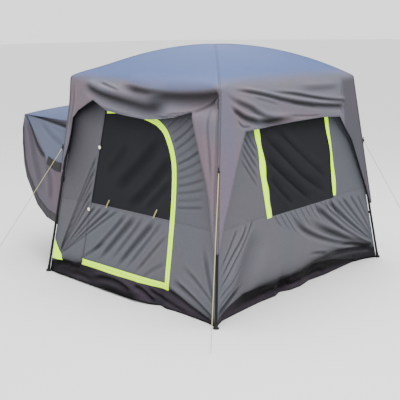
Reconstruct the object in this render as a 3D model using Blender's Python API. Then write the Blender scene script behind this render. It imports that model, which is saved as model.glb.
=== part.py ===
"""A framed camping tent with a sleeve that reaches the back of a car. Metres, +Z up.

The origin is on the ground under the peak. The wall with the door faces -Y, the wall with the window
faces +X, and the sleeve leaves the wall at -X. Every corner has a straight leg, and four bent poles
run from the legs to a hub at the peak.
"""
import math

import bmesh
import bpy
from mathutils import Vector

# Gap kept between pieces that touch, and the thickness of every fabric solid
GAP = 0.0003
FABRIC = 0.005

# Points this close to a corner seam are mitred
SEAM_REACH = 0.001

# Half sizes along X and Y, with the height where one applies
FOOT = (1.15, 1.29)
LEG_TOP = (0.93, 0.975, 1.885)
EAVE = (0.96, 1.005, 1.92)
FLY_BASE = (1.165, 1.305)
WALL_BASE = (1.11, 1.25)
WALL_TOP = (0.85, 0.895, 1.87)
PEAK_Z = 2.25
CEILING_Z = 2.17

# Rows of the fly's roof, as the share of the way from eave to peak
ROOF_ROWS = [0.0, 0.12, 0.25, 0.38, 0.5, 0.62, 0.74, 0.85, 0.94]
ROOF_COLUMNS = 7
SLOPE_STEP = 0.01

# Legs: two tubes joined in a collar, with an ankle over the foot plate, and a short taper at each step
LEG_LOWER_R = 0.0095
LEG_UPPER_R = 0.012
LEG_JOIN_Z = 0.95
COLLAR_R = 0.0155
COLLAR_HEIGHT = 0.06
FOOT_R = 0.026
FOOT_HEIGHT = 0.012
ANKLE_R = (0.015, 0.013)
ANKLE_Z = (0.016, 0.06)
TAPER = 0.001
CLIP_Z = (0.48, 1.36)
CLIP_HALF = 0.006
CLIP_CLEARANCE = 0.004

# Elbows: from the leg's top over a bend, whose middle lies at a share of the way to the pole
ELBOW_R = 0.015
ELBOW_TIP_R = 0.012
ELBOW_LOW_Z = 1.835
ELBOW_BEND_Z = 1.87
ELBOW_MIDDLE = 0.425
ELBOW_RISE = 0.004
ELBOW_LEAN = 0.4

# Roof poles and hub
POLE_R = 0.008
POLE_START = 0.0833
POLE_DIP = 0.014
HUB_R = 0.05
HUB_BOTTOM = 2.205
HUB_FLARE = 0.01
HUB_FLARE_R = 0.030
HUB_STEM_R = 0.010

# Faces round the tubes
TUBE_SIDES = 10
POLE_SIDES = 8
THIN_SIDES = 6

# Door: the bright band's outer edge as (x, z), the point of it at which the wall is split, its width, and
# the line of the sewn hinge
DOOR_EDGE = [(-0.548, 1.671), (-0.38, 1.680), (-0.19, 1.672), (0.0, 1.649), (0.154, 1.612),
             (0.228, 1.578), (0.298, 1.528), (0.360, 1.448), (0.420, 1.34), (0.465, 1.20),
             (0.499, 0.946), (0.517, 0.604), (0.529, 0.165), (-0.679, 0.162)]
DOOR_SHOULDER = 4
DOOR_BAND = 0.052
DOOR_CLEARANCE = 0.005
DOOR_SEAM_Z = 0.762
HINGE_BOTTOM = (-0.68, 0.15)
HINGE_TOP = (-0.55, 1.64)
HEM_R = 0.004
SKIRT_TOP = 0.188

# Window mesh of a side wall as (along the wall, z)
WINDOW = [(-0.353, 0.745), (0.601, 0.745), (0.565, 1.60), (-0.425, 1.60)]
LEFT_DOORWAY = [(-0.65, 1.20), (-0.60, 1.34), (-0.47, 1.41), (0.47, 1.41), (0.60, 1.34), (0.65, 1.20)]

# Lower edge of each fly side as (along the wall, z) between the two corner seams
FLY_EDGE_DOOR_SIDE = [(-1.005, 1.131), (-0.953, 1.287), (-0.923, 1.447), (-0.905, 1.563), (-0.839, 1.635),
                      (-0.628, 1.745), (-0.421, 1.659), (-0.17, 1.633), (0.077, 1.616), (0.263, 1.629),
                      (0.46, 1.655), (0.657, 1.713), (0.80, 1.375), (0.895, 1.166), (0.948, 1.025),
                      (1.023, 0.72), (1.072, 0.60)]
FLY_EDGE_WINDOW_SIDE = [(-1.182, 0.60), (-1.088, 0.829), (-0.968, 1.066), (-0.887, 1.244), (-0.807, 1.399),
                        (-0.725, 1.545), (-0.40, 1.551), (0.0, 1.562), (0.40, 1.561), (0.715, 1.539),
                        (0.80, 1.42), (0.903, 1.289), (1.004, 1.05), (1.108, 0.80), (1.182, 0.60)]
FLY_EDGE_SLEEVE_SIDE = [(-1.075, 1.131), (-1.01, 1.29), (-0.97, 1.45), (-0.95, 1.548), (-0.45, 1.563),
                        (0.45, 1.563), (0.95, 1.548), (0.97, 1.45), (1.01, 1.29), (1.075, 1.131)]

# Sleeve: hem of its side as (x, y, z) from the leg to the car end, and its roof
SLEEVE_END_X = 1.90
SLEEVE_EDGE_Y = (0.93, 0.95)
SLEEVE_EDGE_Z = (1.490, 1.525)
SLEEVE_CROWN = (0.035, 0.055)
SLEEVE_COLUMNS = 9
SLEEVE_ROWS = 6
SLEEVE_HEM = [(-1.049, -1.13, 0.470), (-1.15, -1.175, 0.480), (-1.387, -1.12, 0.493),
              (-1.623, -1.06, 0.581), (-1.768, -1.02, 0.701), (-1.907, -0.985, 0.838),
              (-1.968, -0.965, 0.983), (-1.988, -0.955, 1.180), (-1.955, -0.95, 1.360)]

# Guy lines: height of the ring on the corner seam, stakes as half distances from the middle
RING_Z = 1.263
STAKES = {"front_left": (-1.65, -1.70), "front_right": (1.42, -1.65), "back_right": (1.48, 1.69),
          "back_left": (-1.65, 1.70)}
GUY_R = 0.002
EYE_R = 0.0055
EYE_HALF = 0.010
STAKE_R = 0.003
STAKE_HEIGHT = 0.035
HOOK_DROP = 0.008
HOOK_BEND = 0.006
HOOK_REACH = (0.004, 0.022)

CORNERS = {"front_left": (-1, -1), "front_right": (1, -1), "back_right": (1, 1), "back_left": (-1, 1)}

COLOURS = {
    "fly": ((0.30, 0.30, 0.33), 0.6, 0.0),
    "wall": ((0.22, 0.22, 0.24), 0.7, 0.0),
    "skirt": ((0.10, 0.09, 0.11), 0.7, 0.0),
    "floor": ((0.12, 0.12, 0.13), 0.8, 0.0),
    "mesh": ((0.03, 0.03, 0.035), 0.9, 0.0),
    "zip": ((0.70, 0.88, 0.22), 0.5, 0.0),
    "tube": ((0.02, 0.02, 0.02), 0.4, 1.0),
    "plastic": ((0.02, 0.02, 0.02), 0.5, 0.0),
    "guy": ((0.80, 0.76, 0.55), 0.7, 0.0),
}


def clear_scene():
    for item in list(bpy.data.objects):
        bpy.data.objects.remove(item, do_unlink=True)


def make_material(name):
    colour, roughness, metallic = COLOURS[name]
    material = bpy.data.materials.new(name)
    material.use_nodes = True
    shader = material.node_tree.nodes["Principled BSDF"]
    shader.inputs["Base Color"].default_value = (*colour, 1.0)
    shader.inputs["Roughness"].default_value = roughness
    shader.inputs["Metallic"].default_value = metallic
    return material


def finish_object(name, bm, material, origin=(0.0, 0.0, 0.0)):
    """Turns a closed bmesh in world coordinates into an object whose origin is at the given point."""
    bmesh.ops.recalc_face_normals(bm, faces=bm.faces[:])
    if bm.calc_volume(signed=True) < 0:
        bmesh.ops.reverse_faces(bm, faces=bm.faces[:])
    bmesh.ops.translate(bm, verts=bm.verts[:], vec=-Vector(origin))
    mesh = bpy.data.meshes.new(name)
    bm.to_mesh(mesh)
    bm.free()
    mesh.materials.append(MATERIALS[material])
    item = bpy.data.objects.new(name, mesh)
    item.location = origin
    bpy.context.scene.collection.objects.link(item)
    return item


def mix(a, b, t):
    return a + (b - a) * t


def across(side):
    """Index of the half sizes that a side's own distance uses: 1 for front and back, 0 for the others."""
    return 1 if side in ("front", "back") else 0


def on_side(side, along, out, z):
    """World point at a distance out from the middle, on one of the four sides."""
    return {"front": (along, -out, z), "back": (along, out, z),
            "right": (out, along, z), "left": (-out, along, z)}[side]


def fly_plane(index, z):
    return mix(FLY_BASE[index], EAVE[index], z / EAVE[2])


def wall_plane(index, z):
    return mix(WALL_BASE[index], WALL_TOP[index], z / WALL_TOP[2])


def hinge_x(z):
    return mix(HINGE_BOTTOM[0], HINGE_TOP[0], (z - HINGE_BOTTOM[1]) / (HINGE_TOP[1] - HINGE_BOTTOM[1]))


def sheet(name, material, loops, side, plane, origin=(0.0, 0.0, 0.0)):
    """Thin closed solid in a leaning side plane, from an outline and the outlines of its holes.

    Points on the corner seam are mitred, so that the sheets of two sides meet without an overlap.
    """
    own = across(side)
    bm = bmesh.new()
    edges = []
    for loop in loops:
        verts = [bm.verts.new((along, z, 0.0)) for along, z in loop]
        edges += [bm.edges.new((verts[i - 1], verts[i])) for i in range(len(verts))]
    bmesh.ops.triangle_fill(bm, use_beauty=True, edges=edges)
    inner = list(bm.verts)
    copied = bmesh.ops.extrude_face_region(bm, geom=bm.faces[:])
    outer = [item for item in copied["geom"] if isinstance(item, bmesh.types.BMVert)]
    for vert in outer:
        along, z = vert.co.x, vert.co.y
        vert.co = on_side(side, along, plane(own, z), z)
    for vert in inner:
        along, z = vert.co.x, vert.co.y
        corner = plane(1 - own, z)
        if abs(along) > corner - SEAM_REACH:
            along -= math.copysign(FABRIC, along)
        vert.co = on_side(side, along, plane(own, z) - FABRIC, z)
    return finish_object(name, bm, material, origin)


def skin(name, material, outer, inner):
    """Closed solid between two grids of points with the same rows and columns."""
    bm = bmesh.new()
    layers = [[[bm.verts.new(point) for point in row] for row in grid] for grid in (outer, inner)]
    rows, columns = len(outer), len(outer[0])
    for grid in layers:
        for r in range(rows - 1):
            for c in range(columns - 1):
                bm.faces.new((grid[r][c], grid[r][c + 1], grid[r + 1][c + 1], grid[r + 1][c]))
    top, under = layers
    rim = [(0, c) for c in range(columns)] + [(r, columns - 1) for r in range(1, rows)]
    rim += [(rows - 1, c) for c in range(columns - 2, -1, -1)] + [(r, 0) for r in range(rows - 2, 0, -1)]
    for (r0, c0), (r1, c1) in zip(rim, rim[1:] + rim[:1]):
        bm.faces.new((top[r0][c0], top[r1][c1], under[r1][c1], under[r0][c0]))
    return finish_object(name, bm, material)


def loft(name, material, stations, sides=TUBE_SIDES, origin=(0.0, 0.0, 0.0)):
    """Closed tube through stations of (centre, direction, radius), with flat ends."""
    bm = bmesh.new()
    rings = []
    for centre, direction, radius in stations:
        turn = Vector((0, 0, 1)).rotation_difference(Vector(direction).normalized())
        ring = []
        for k in range(sides):
            angle = 2 * math.pi * (k + 0.5) / sides
            spoke = turn @ Vector((math.cos(angle), math.sin(angle), 0)) * radius
            ring.append(bm.verts.new(Vector(centre) + spoke))
        rings.append(ring)
    for low, high in zip(rings, rings[1:]):
        for k in range(sides):
            bm.faces.new((low[k - 1], low[k], high[k], high[k - 1]))
    bm.faces.new(rings[0])
    bm.faces.new(rings[-1])
    return finish_object(name, bm, material, origin)


def join_solids(name, base, others):
    """Boolean union of solids into base, applied to its mesh."""
    for other in others:
        cut = base.modifiers.new("join", "BOOLEAN")
        cut.operation = "UNION"
        cut.solver = "EXACT"
        cut.object = other
        graph = bpy.context.evaluated_depsgraph_get()
        mesh = bpy.data.meshes.new_from_object(base.evaluated_get(graph))
        base.modifiers.clear()
        base.data = mesh
        bpy.data.objects.remove(other, do_unlink=True)
    base.name = name
    return base


def ridge_z(s):
    """Height of the fly's ridge at one of ROOF_ROWS, from the eave corner at s = 0 to the peak at s = 1."""
    return EAVE[2] + (PEAK_Z - EAVE[2]) * (1 - (1 - s) ** 2)


def fly_z(s):
    """Height of the faceted fly, straight between its rows."""
    high = next(row for row in ROOF_ROWS[1:] + [1.0] if s <= row)
    low = max(row for row in ROOF_ROWS if row < high)
    return mix(ridge_z(low), ridge_z(high), (s - low) / (high - low))


def fly_slope(s):
    """Fall of the facet just below s, in metres for a whole run from corner to peak."""
    return (fly_z(s) - fly_z(s - SLOPE_STEP)) / SLOPE_STEP


def pole_point(sx, sy, s):
    """Centre of a roof pole under the fly's ridge: it seats on the fly, and dips towards the elbow."""
    steepest = fly_slope(s) / min(EAVE[0], EAVE[1])
    seat = FABRIC + (POLE_R + 2 * GAP) * math.sqrt(1 + steepest ** 2)
    dip = POLE_DIP * max(0.0, 1 - (s - POLE_START) / (ROOF_ROWS[2] - POLE_START))
    return Vector((sx * EAVE[0] * (1 - s), sy * EAVE[1] * (1 - s), fly_z(s) - seat - dip))


def pole_direction(sx, sy, s):
    ahead = pole_point(sx, sy, min(s + SLOPE_STEP, 1.0))
    return (ahead - pole_point(sx, sy, s - SLOPE_STEP)).normalized()


def leg_point(sx, sy, z):
    t = z / LEG_TOP[2]
    return Vector((sx * mix(FOOT[0], LEG_TOP[0], t), sy * mix(FOOT[1], LEG_TOP[1], t), z))


def make_leg(corner):
    """A foot plate, a lower and an upper tube, and two clips that reach the corner of the inner tent."""
    sx, sy = CORNERS[corner]
    up = (0, 0, 1)
    collar_top = LEG_JOIN_Z + COLLAR_HEIGHT
    profile = [(0.0, FOOT_R), (FOOT_HEIGHT, FOOT_R), (ANKLE_Z[0], ANKLE_R[0]), (ANKLE_Z[1], ANKLE_R[1]),
               (ANKLE_Z[1] + TAPER, LEG_LOWER_R), (LEG_JOIN_Z, LEG_LOWER_R), (LEG_JOIN_Z, COLLAR_R),
               (collar_top, COLLAR_R), (collar_top + TAPER, LEG_UPPER_R), (ELBOW_LOW_Z - GAP, LEG_UPPER_R)]
    stations = [(leg_point(sx, sy, z), up, radius) for z, radius in profile]
    foot_axis = leg_point(sx, sy, 0.0)
    stations[1] = ((foot_axis.x, foot_axis.y, FOOT_HEIGHT), up, FOOT_R)
    leg = loft("leg_" + corner, "tube", stations)
    clips = []
    for z in CLIP_Z:
        tube = leg_point(sx, sy, z)
        wall = Vector((sx * wall_plane(0, z), sy * wall_plane(1, z), z))
        reach = tube - wall
        near = wall + reach.normalized() * CLIP_CLEARANCE
        ends = [(near, reach, CLIP_HALF / 2), (tube, reach, CLIP_HALF)]
        clips.append(loft("clip", "tube", ends, sides=THIN_SIDES))
    return join_solids("leg_" + corner, leg, clips)


def make_frame():
    for corner, (sx, sy) in CORNERS.items():
        make_leg(corner)
        start = pole_point(sx, sy, POLE_START)
        heading = pole_direction(sx, sy, POLE_START)
        low = leg_point(sx, sy, ELBOW_LOW_Z)
        bend = leg_point(sx, sy, ELBOW_BEND_Z)
        middle = bend.lerp(start, ELBOW_MIDDLE) + Vector((0, 0, ELBOW_RISE))
        stations = [(low, (0, 0, 1), ELBOW_R), (bend, (0, 0, 1), ELBOW_R),
                    (middle, (start - bend).normalized() + Vector((0, 0, ELBOW_LEAN)), ELBOW_R),
                    (start, heading, ELBOW_TIP_R)]
        loft("eave_elbow_" + corner, "plastic", stations)
        flat = Vector((sx, sy, 0)).normalized()
        plan = Vector((sx * EAVE[0], sy * EAVE[1], 0))
        reach = (HUB_R * math.cos(math.pi / POLE_SIDES) + GAP) / plan.dot(flat)
        steps = [POLE_START] + [s for s in ROOF_ROWS if s > POLE_START] + [1 - reach]
        stations = [(pole_point(sx, sy, s), pole_direction(sx, sy, s), POLE_R) for s in steps]
        stations[0] = (start + heading * GAP, heading, POLE_R)
        stations[-1] = (stations[-1][0], -flat, POLE_R)
        loft("roof_pole_" + corner, "tube", stations, sides=POLE_SIDES)
    make_hub()


def make_hub():
    """An eight-sided hub with flats towards the poles, and a stem that holds the ceiling."""
    top = fly_z(1 - HUB_R / EAVE[0]) - FABRIC - GAP
    up = (0, 0, 1)
    profile = [(CEILING_Z + 2 * GAP, HUB_STEM_R), (HUB_BOTTOM - HUB_FLARE, HUB_STEM_R),
               (HUB_BOTTOM, HUB_FLARE_R), (HUB_BOTTOM, HUB_R), (top, HUB_R)]
    loft("hub", "plastic", [((0, 0, z), up, radius) for z, radius in profile], sides=POLE_SIDES)


def make_fly_roof():
    """Four gores between the ridges, taut along level lines."""
    for side in ("front", "right", "back", "left"):
        own = across(side)
        rows = ROOF_ROWS + [1 - 2 * GAP / EAVE[1 - own]]
        outer, inner = [], []
        for s in rows:
            half = EAVE[1 - own] * (1 - s) - GAP
            out = EAVE[own] * (1 - s)
            shares = [k / (ROOF_COLUMNS - 1) for k in range(ROOF_COLUMNS)]
            points = [on_side(side, mix(-half, half, share), out, ridge_z(s)) for share in shares]
            outer.append(points)
            inner.append([(x, y, z - FABRIC) for x, y, z in points])
        skin("fly_roof_" + side, "fly", outer, inner)


def make_fly_side(side, edge):
    """A valance with a flap down each corner seam, in the fly's leaning side plane."""
    own = across(side)
    top = EAVE[2] - FABRIC - GAP

    def seam(z):
        return fly_plane(1 - own, z) - GAP

    left_tip, right_tip = edge[0][1], edge[-1][1]
    outline = [(-seam(top), top), (-seam(left_tip), left_tip), *edge, (seam(right_tip), right_tip),
               (seam(top), top)]
    sheet("fly_side_" + side, "fly", [outline], side, fly_plane)


def wall_corner(side, z):
    return wall_plane(1 - across(side), z) - GAP


def make_floor():
    bm = bmesh.new()
    half = (WALL_BASE[0], WALL_BASE[1])
    bmesh.ops.create_cube(bm, size=1.0)
    bmesh.ops.scale(bm, vec=(2 * half[0], 2 * half[1], FABRIC), verts=bm.verts[:])
    bmesh.ops.translate(bm, vec=(0, 0, FABRIC / 2), verts=bm.verts[:])
    finish_object("floor", bm, "floor")
    low = FABRIC + GAP
    high = SKIRT_TOP - GAP
    for side in ("front", "right", "back", "left"):
        outline = [(-wall_corner(side, low), low), (wall_corner(side, low), low),
                   (wall_corner(side, high), high), (-wall_corner(side, high), high)]
        sheet("skirt_" + side, "skirt", [outline], side, wall_plane)


def offset_line(points, distance):
    """The open line of points moved sideways towards the inside of the door, with mitred bends."""
    normals = []
    for (x0, z0), (x1, z1) in zip(points, points[1:]):
        length = math.hypot(x1 - x0, z1 - z0)
        normals.append(((z1 - z0) / length, (x0 - x1) / length))
    moved = []
    for i, (x, z) in enumerate(points):
        before = normals[max(i - 1, 0)]
        after = normals[min(i, len(normals) - 1)]
        nx, nz = before[0] + after[0], before[1] + after[1]
        scale = 2 * distance / (nx * nx + nz * nz)
        moved.append((x + nx * scale, z + nz * scale))
    return moved


def meet_hinge(points, shift):
    """The line of points with both ends run to the hinge line, moved by shift along x."""
    points = list(points)
    slope = (HINGE_TOP[0] - HINGE_BOTTOM[0]) / (HINGE_TOP[1] - HINGE_BOTTOM[1])
    for end, next_one in ((0, 1), (-1, -2)):
        (x0, z0), (x1, z1) = points[end], points[next_one]
        dx, dz = x1 - x0, z1 - z0
        t = (hinge_x(z0) + shift - x0) / (dx - slope * dz)
        points[end] = (x0 + dx * t, z0 + dz * t)
    return points


def make_front_wall():
    """Three pieces round the doorway: beside the hinge, over the door, and on the free side."""
    hole = meet_hinge(offset_line(DOOR_EDGE, (DOOR_BAND - DOOR_CLEARANCE) / 2), -(HEM_R + GAP))
    low, high = SKIRT_TOP, WALL_TOP[2]
    split_left = hole[0][1]
    split_right = hole[DOOR_SHOULDER][1]

    def corner(z):
        return wall_corner("front", z)

    left = [(-corner(low), low), (hinge_x(low) - HEM_R - GAP, low), (hole[0][0], split_left - GAP),
            (-corner(split_left), split_left - GAP)]
    sheet("front_wall_left", "wall", [left], "front", wall_plane)
    top = [(-corner(split_left), split_left), *hole[:DOOR_SHOULDER + 1], (corner(split_right), split_right),
           (corner(high), high), (-corner(high), high)]
    sheet("front_wall_top", "wall", [top], "front", wall_plane)
    right = [(hole[DOOR_SHOULDER][0], split_right - GAP), *hole[DOOR_SHOULDER + 1:-2], (hole[-2][0], low),
             (corner(low), low), (corner(split_right), split_right - GAP)]
    sheet("front_wall_right", "wall", [right], "front", wall_plane)


def make_walls():
    make_front_wall()
    low, high = SKIRT_TOP, WALL_TOP[2]
    for side in ("right", "back"):
        outline = [(-wall_corner(side, low), low), (wall_corner(side, low), low),
                   (wall_corner(side, high), high), (-wall_corner(side, high), high)]
        sheet(side + "_wall", "wall", [outline, WINDOW], side, wall_plane)
        middle_along, middle_z = [sum(axis) / len(axis) for axis in zip(*WINDOW)]
        pane = []
        for along, z in WINDOW:
            moved_along = along - math.copysign(2 * GAP, along - middle_along)
            moved_z = z - math.copysign(2 * GAP, z - middle_z)
            pane.append((moved_along, moved_z))
        sheet(side + "_window_mesh", "mesh", [pane], side, wall_plane)
    first, last = LEFT_DOORWAY[0], LEFT_DOORWAY[-1]
    foot, top = wall_corner("left", low), wall_corner("left", high)
    outline = [(-foot, low), (first[0], low), *LEFT_DOORWAY, (last[0], low), (foot, low), (top, high),
               (-top, high)]
    sheet("left_wall", "wall", [outline], "left", wall_plane)


def make_ceiling():
    """Four mesh slopes that rise from the wall tops to the hub's stem."""
    eave_z = WALL_TOP[2] + GAP + FABRIC
    for side in ("front", "right", "back", "left"):
        own = across(side)
        outer, inner = [], []
        for s in (0.0, 1 - 2 * GAP / WALL_TOP[1 - own]):
            half = WALL_TOP[1 - own] * (1 - s) - GAP
            out = WALL_TOP[own] * (1 - s)
            points = [on_side(side, along, out, mix(eave_z, CEILING_Z, s)) for along in (-half, half)]
            outer.append(points)
            inner.append([(x, y, z - FABRIC) for x, y, z in points])
        skin("ceiling_" + side, "mesh", outer, inner)


def hinge_point(z):
    """Point of the hinge axis, in the middle of the wall's thickness."""
    return Vector((hinge_x(z), -(wall_plane(1, z) - FABRIC / 2), z))


def make_door():
    """The door's four pieces, whose origins are on the hinge axis."""
    outer = offset_line(DOOR_EDGE, (DOOR_BAND + DOOR_CLEARANCE) / 2)
    inner = offset_line(DOOR_EDGE, DOOR_BAND)
    field = offset_line(DOOR_EDGE, DOOR_BAND + GAP)
    start = HEM_R + GAP
    origin = hinge_point(HINGE_BOTTOM[1])
    tape_outer = meet_hinge(outer, start)
    tape_inner = meet_hinge(inner, start)
    sheet("door_zip_tape", "zip", [tape_outer + tape_inner[::-1]], "front", wall_plane, origin)
    field = meet_hinge(field, start)
    above = [point for point in field if point[1] > DOOR_SEAM_Z]
    below = [point for point in field if point[1] <= DOOR_SEAM_Z]
    (x0, z0), (x1, z1) = above[-1], below[0]
    seam_x = mix(x0, x1, (DOOR_SEAM_Z - z0) / (z1 - z0))
    seam_left = hinge_x(DOOR_SEAM_Z) + start
    mesh_outline = above + [(seam_x, DOOR_SEAM_Z + GAP), (seam_left, DOOR_SEAM_Z + GAP)]
    sheet("door_mesh", "mesh", [mesh_outline], "front", wall_plane, origin)
    panel_outline = [(seam_left, DOOR_SEAM_Z), (seam_x, DOOR_SEAM_Z)] + below
    sheet("door_panel", "wall", [panel_outline], "front", wall_plane, origin)
    bottom, top = hinge_point(tape_outer[-1][1]), hinge_point(tape_outer[0][1])
    axis = (top - bottom).normalized()
    loft("door_hem", "wall", [(bottom, axis, HEM_R), (top, axis, HEM_R)], origin=origin)


def sleeve_edge(t):
    """Edge between the sleeve's roof and its front side, from the wall at t = 0 to the car end at t = 1."""
    z = mix(SLEEVE_EDGE_Z[0], SLEEVE_EDGE_Z[1], t)
    start = wall_plane(0, z - FABRIC) + GAP
    return mix(-start, -SLEEVE_END_X, t), -mix(SLEEVE_EDGE_Y[0], SLEEVE_EDGE_Y[1], t), z


def make_sleeve():
    steps = len(SLEEVE_HEM)
    outer, inner = [], []
    for k in range(steps + 1):
        t = k / steps
        x, y, z = sleeve_edge(t)
        crown = mix(SLEEVE_CROWN[0], SLEEVE_CROWN[1], t)
        row_out, row_in = [], []
        for c in range(SLEEVE_COLUMNS):
            u = mix(-1, 1, c / (SLEEVE_COLUMNS - 1))
            height = z + crown * (1 - u * u)
            for row, level in ((row_out, height), (row_in, height - FABRIC)):
                row.append((x if k else -(wall_plane(0, level) + GAP), y * u, level))
        outer.append(row_out)
        inner.append(row_in)
    skin("sleeve_roof", "fly", outer, inner)
    for name, sign in (("sleeve_front", 1), ("sleeve_back", -1)):
        outer, inner = [], []
        for k, (hem_x, hem_y, hem_z) in enumerate(SLEEVE_HEM):
            t = k / (steps - 1)
            x, y, z = sleeve_edge(t)
            z -= FABRIC + GAP
            column_out, column_in = [], []
            for r in range(SLEEVE_ROWS):
                v = r / (SLEEVE_ROWS - 1)
                level = mix(z, hem_z, v)
                px, py = mix(x, hem_x, v), mix(y, hem_y, v)
                if k == 0:
                    px = -(wall_plane(0, level) + GAP)
                column_out.append((px, sign * py, level))
                column_in.append((px, sign * (py + FABRIC), level))
            outer.append(column_out)
            inner.append(column_in)
        skin(name, "fly", outer, inner)


def make_guys():
    """Each line runs taut from a ring on the corner seam to the hook of its stake at the ground."""
    for corner, (sx, sy) in CORNERS.items():
        outward = Vector((sx, sy, 0)).normalized() * (EYE_R * math.cos(math.pi / POLE_SIDES) + GAP)
        low, ring, high = [Vector((sx * fly_plane(0, z), sy * fly_plane(1, z), z)) + outward
                           for z in (RING_Z - EYE_HALF, RING_Z, RING_Z + EYE_HALF)]
        stake_x, stake_y = STAKES[corner]
        foot = Vector((stake_x, stake_y, 0.0))
        tip = foot + Vector((0, 0, STAKE_HEIGHT))
        hook = tip - Vector((0, 0, HOOK_DROP))
        pull = (hook - ring).normalized()
        line = loft("guy_" + corner, "guy", [(ring, pull, GUY_R), (hook, pull, GUY_R)], sides=THIN_SIDES)
        eye = loft("eye", "guy", [(low, (0, 0, 1), EYE_R), (high, (0, 0, 1), EYE_R)], sides=POLE_SIDES)
        away = Vector((pull.x, pull.y, 0)).normalized()
        stations = [(foot, (0, 0, 1), STAKE_R), (tip - Vector((0, 0, HOOK_BEND)), (0, 0, 1), STAKE_R),
                    (tip + away * HOOK_REACH[0], (away.x, away.y, 1), STAKE_R),
                    (tip + away * HOOK_REACH[1], away, STAKE_R)]
        stake = loft("stake", "guy", stations, sides=POLE_SIDES)
        join_solids("guy_" + corner, line, [eye, stake])


clear_scene()
MATERIALS = {name: make_material(name) for name in COLOURS}
make_frame()
make_fly_roof()
make_fly_side("front", FLY_EDGE_DOOR_SIDE)
make_fly_side("back", FLY_EDGE_DOOR_SIDE)
make_fly_side("right", FLY_EDGE_WINDOW_SIDE)
make_fly_side("left", FLY_EDGE_SLEEVE_SIDE)
make_floor()
make_walls()
make_ceiling()
make_door()
make_sleeve()
make_guys()
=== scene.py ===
"""Looks of the framed camping tent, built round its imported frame. Metres, +Z up.

Every cloth is meshed in two flat coordinates of its own surface and lifted by the folds that it lies in.
On the walls and the fly's sides these are the distance along the side and the height.
"""
import math
from collections import namedtuple

import bpy
import numpy as np
from mathutils import Matrix, Vector, noise
from mathutils.geometry import delaunay_2d_cdt


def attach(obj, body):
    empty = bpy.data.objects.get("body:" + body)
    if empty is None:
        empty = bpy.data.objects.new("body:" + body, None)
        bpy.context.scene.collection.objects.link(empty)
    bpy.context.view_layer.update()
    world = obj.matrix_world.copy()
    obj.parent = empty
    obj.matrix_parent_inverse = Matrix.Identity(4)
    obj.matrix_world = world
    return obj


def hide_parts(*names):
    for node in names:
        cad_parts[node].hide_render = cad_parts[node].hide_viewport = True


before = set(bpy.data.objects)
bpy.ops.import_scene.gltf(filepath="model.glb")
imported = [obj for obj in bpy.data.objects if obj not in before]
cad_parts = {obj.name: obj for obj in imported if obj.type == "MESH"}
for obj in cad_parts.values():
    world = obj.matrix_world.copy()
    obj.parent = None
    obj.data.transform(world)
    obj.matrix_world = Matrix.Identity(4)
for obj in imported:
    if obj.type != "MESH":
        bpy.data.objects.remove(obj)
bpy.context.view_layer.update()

# Half sizes of the tent along X and Y, as the frame has them
EAVE = (0.96, 1.005)
EAVE_Z = 1.92
FLY_BASE = (1.165, 1.305)
WALL_BASE = (1.11, 1.25)
WALL_TOP = (0.85, 0.895)
WALL_TOP_Z = 1.87
PEAK_Z = 2.25
CEILING_Z = 2.17
CEILING_SAG = 0.05
CEILING_STEP = 0.06
FOOT = (1.15, 1.29)
# Radius of a leg at heights from its foot up
LEG_PROFILE = [(0.003, 0.026), (0.012, 0.026), (0.017, 0.016), (0.055, 0.0135), (0.065, 0.012),
               (0.915, 0.012), (0.918, 0.0155), (0.922, 0.0165), (0.976, 0.0165), (0.98, 0.0155),
               (0.983, 0.014), (1.885, 0.014)]
LEG_TOP = (0.93, 0.975)
LEG_TOP_Z = 1.885
LEG_CLEARANCE = 0.0125
# Heights of a leg's button and clips, how far they stand from its axis, and their half sizes
BUTTON_Z = 1.03
BUTTON_OUT = 0.0135
BUTTON_RADIUS = 0.0045
CLIP_Z = (0.945, 0.5)
CLIP_IN = 0.016
CLIP_SIZE = (0.008, 0.008, 0.016)

# Cloth: its thickness, and the mesh spacing of fine and plain stretches
CLOTH = 0.0012
FINE = 0.014
PLAIN = 0.03

# Below this height cloth is bent to lie on the ground, not under it
GROUND_EASE = 0.003

# Corners of the tent as signs along X and Y
CORNERS = {"front_left": (-1, -1), "front_right": (1, -1), "back_right": (1, 1), "back_left": (-1, 1)}
SIDES = ("front", "right", "back", "left")

# A fold rises on the left of its line and sinks on the right, or the other way where its height is
# negative. It grows and dies over the start and end shares of its run, and its width runs on to wide.
# An even fold is a plain ridge or groove on its line. A lip drops sharply and hardly rises above its line.
Fold = namedtuple("Fold", "line width height start end wide even lip",
                  defaults=(0.25, 0.25, None, False, False))
LIP_RISE = 0.15

# Lower edges of the fly's sides, as (along the side, z)
FLY_EDGE = {
    "front": [(-1.005, 1.131), (-0.953, 1.287), (-0.923, 1.447), (-0.905, 1.563), (-0.839, 1.635),
              (-0.628, 1.745), (-0.421, 1.659), (-0.17, 1.633), (0.077, 1.616), (0.263, 1.629),
              (0.46, 1.655), (0.657, 1.713), (0.8, 1.375), (0.895, 1.166), (0.948, 1.025),
              (1.023, 0.72), (1.072, 0.6)],
    "right": [(-1.182, 0.6), (-1.088, 0.829), (-0.968, 1.066), (-0.887, 1.244), (-0.807, 1.399),
              (-0.725, 1.545), (-0.4, 1.551), (0.0, 1.562), (0.4, 1.561), (0.715, 1.539),
              (0.8, 1.42), (0.903, 1.289), (1.004, 1.05), (1.108, 0.8), (1.182, 0.6)],
    "left": [(-1.075, 1.131), (-1.01, 1.29), (-0.97, 1.45), (-0.95, 1.548), (-0.45, 1.563),
             (0.45, 1.563), (0.95, 1.548), (0.97, 1.45), (1.01, 1.29), (1.075, 1.131)],
}

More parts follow.
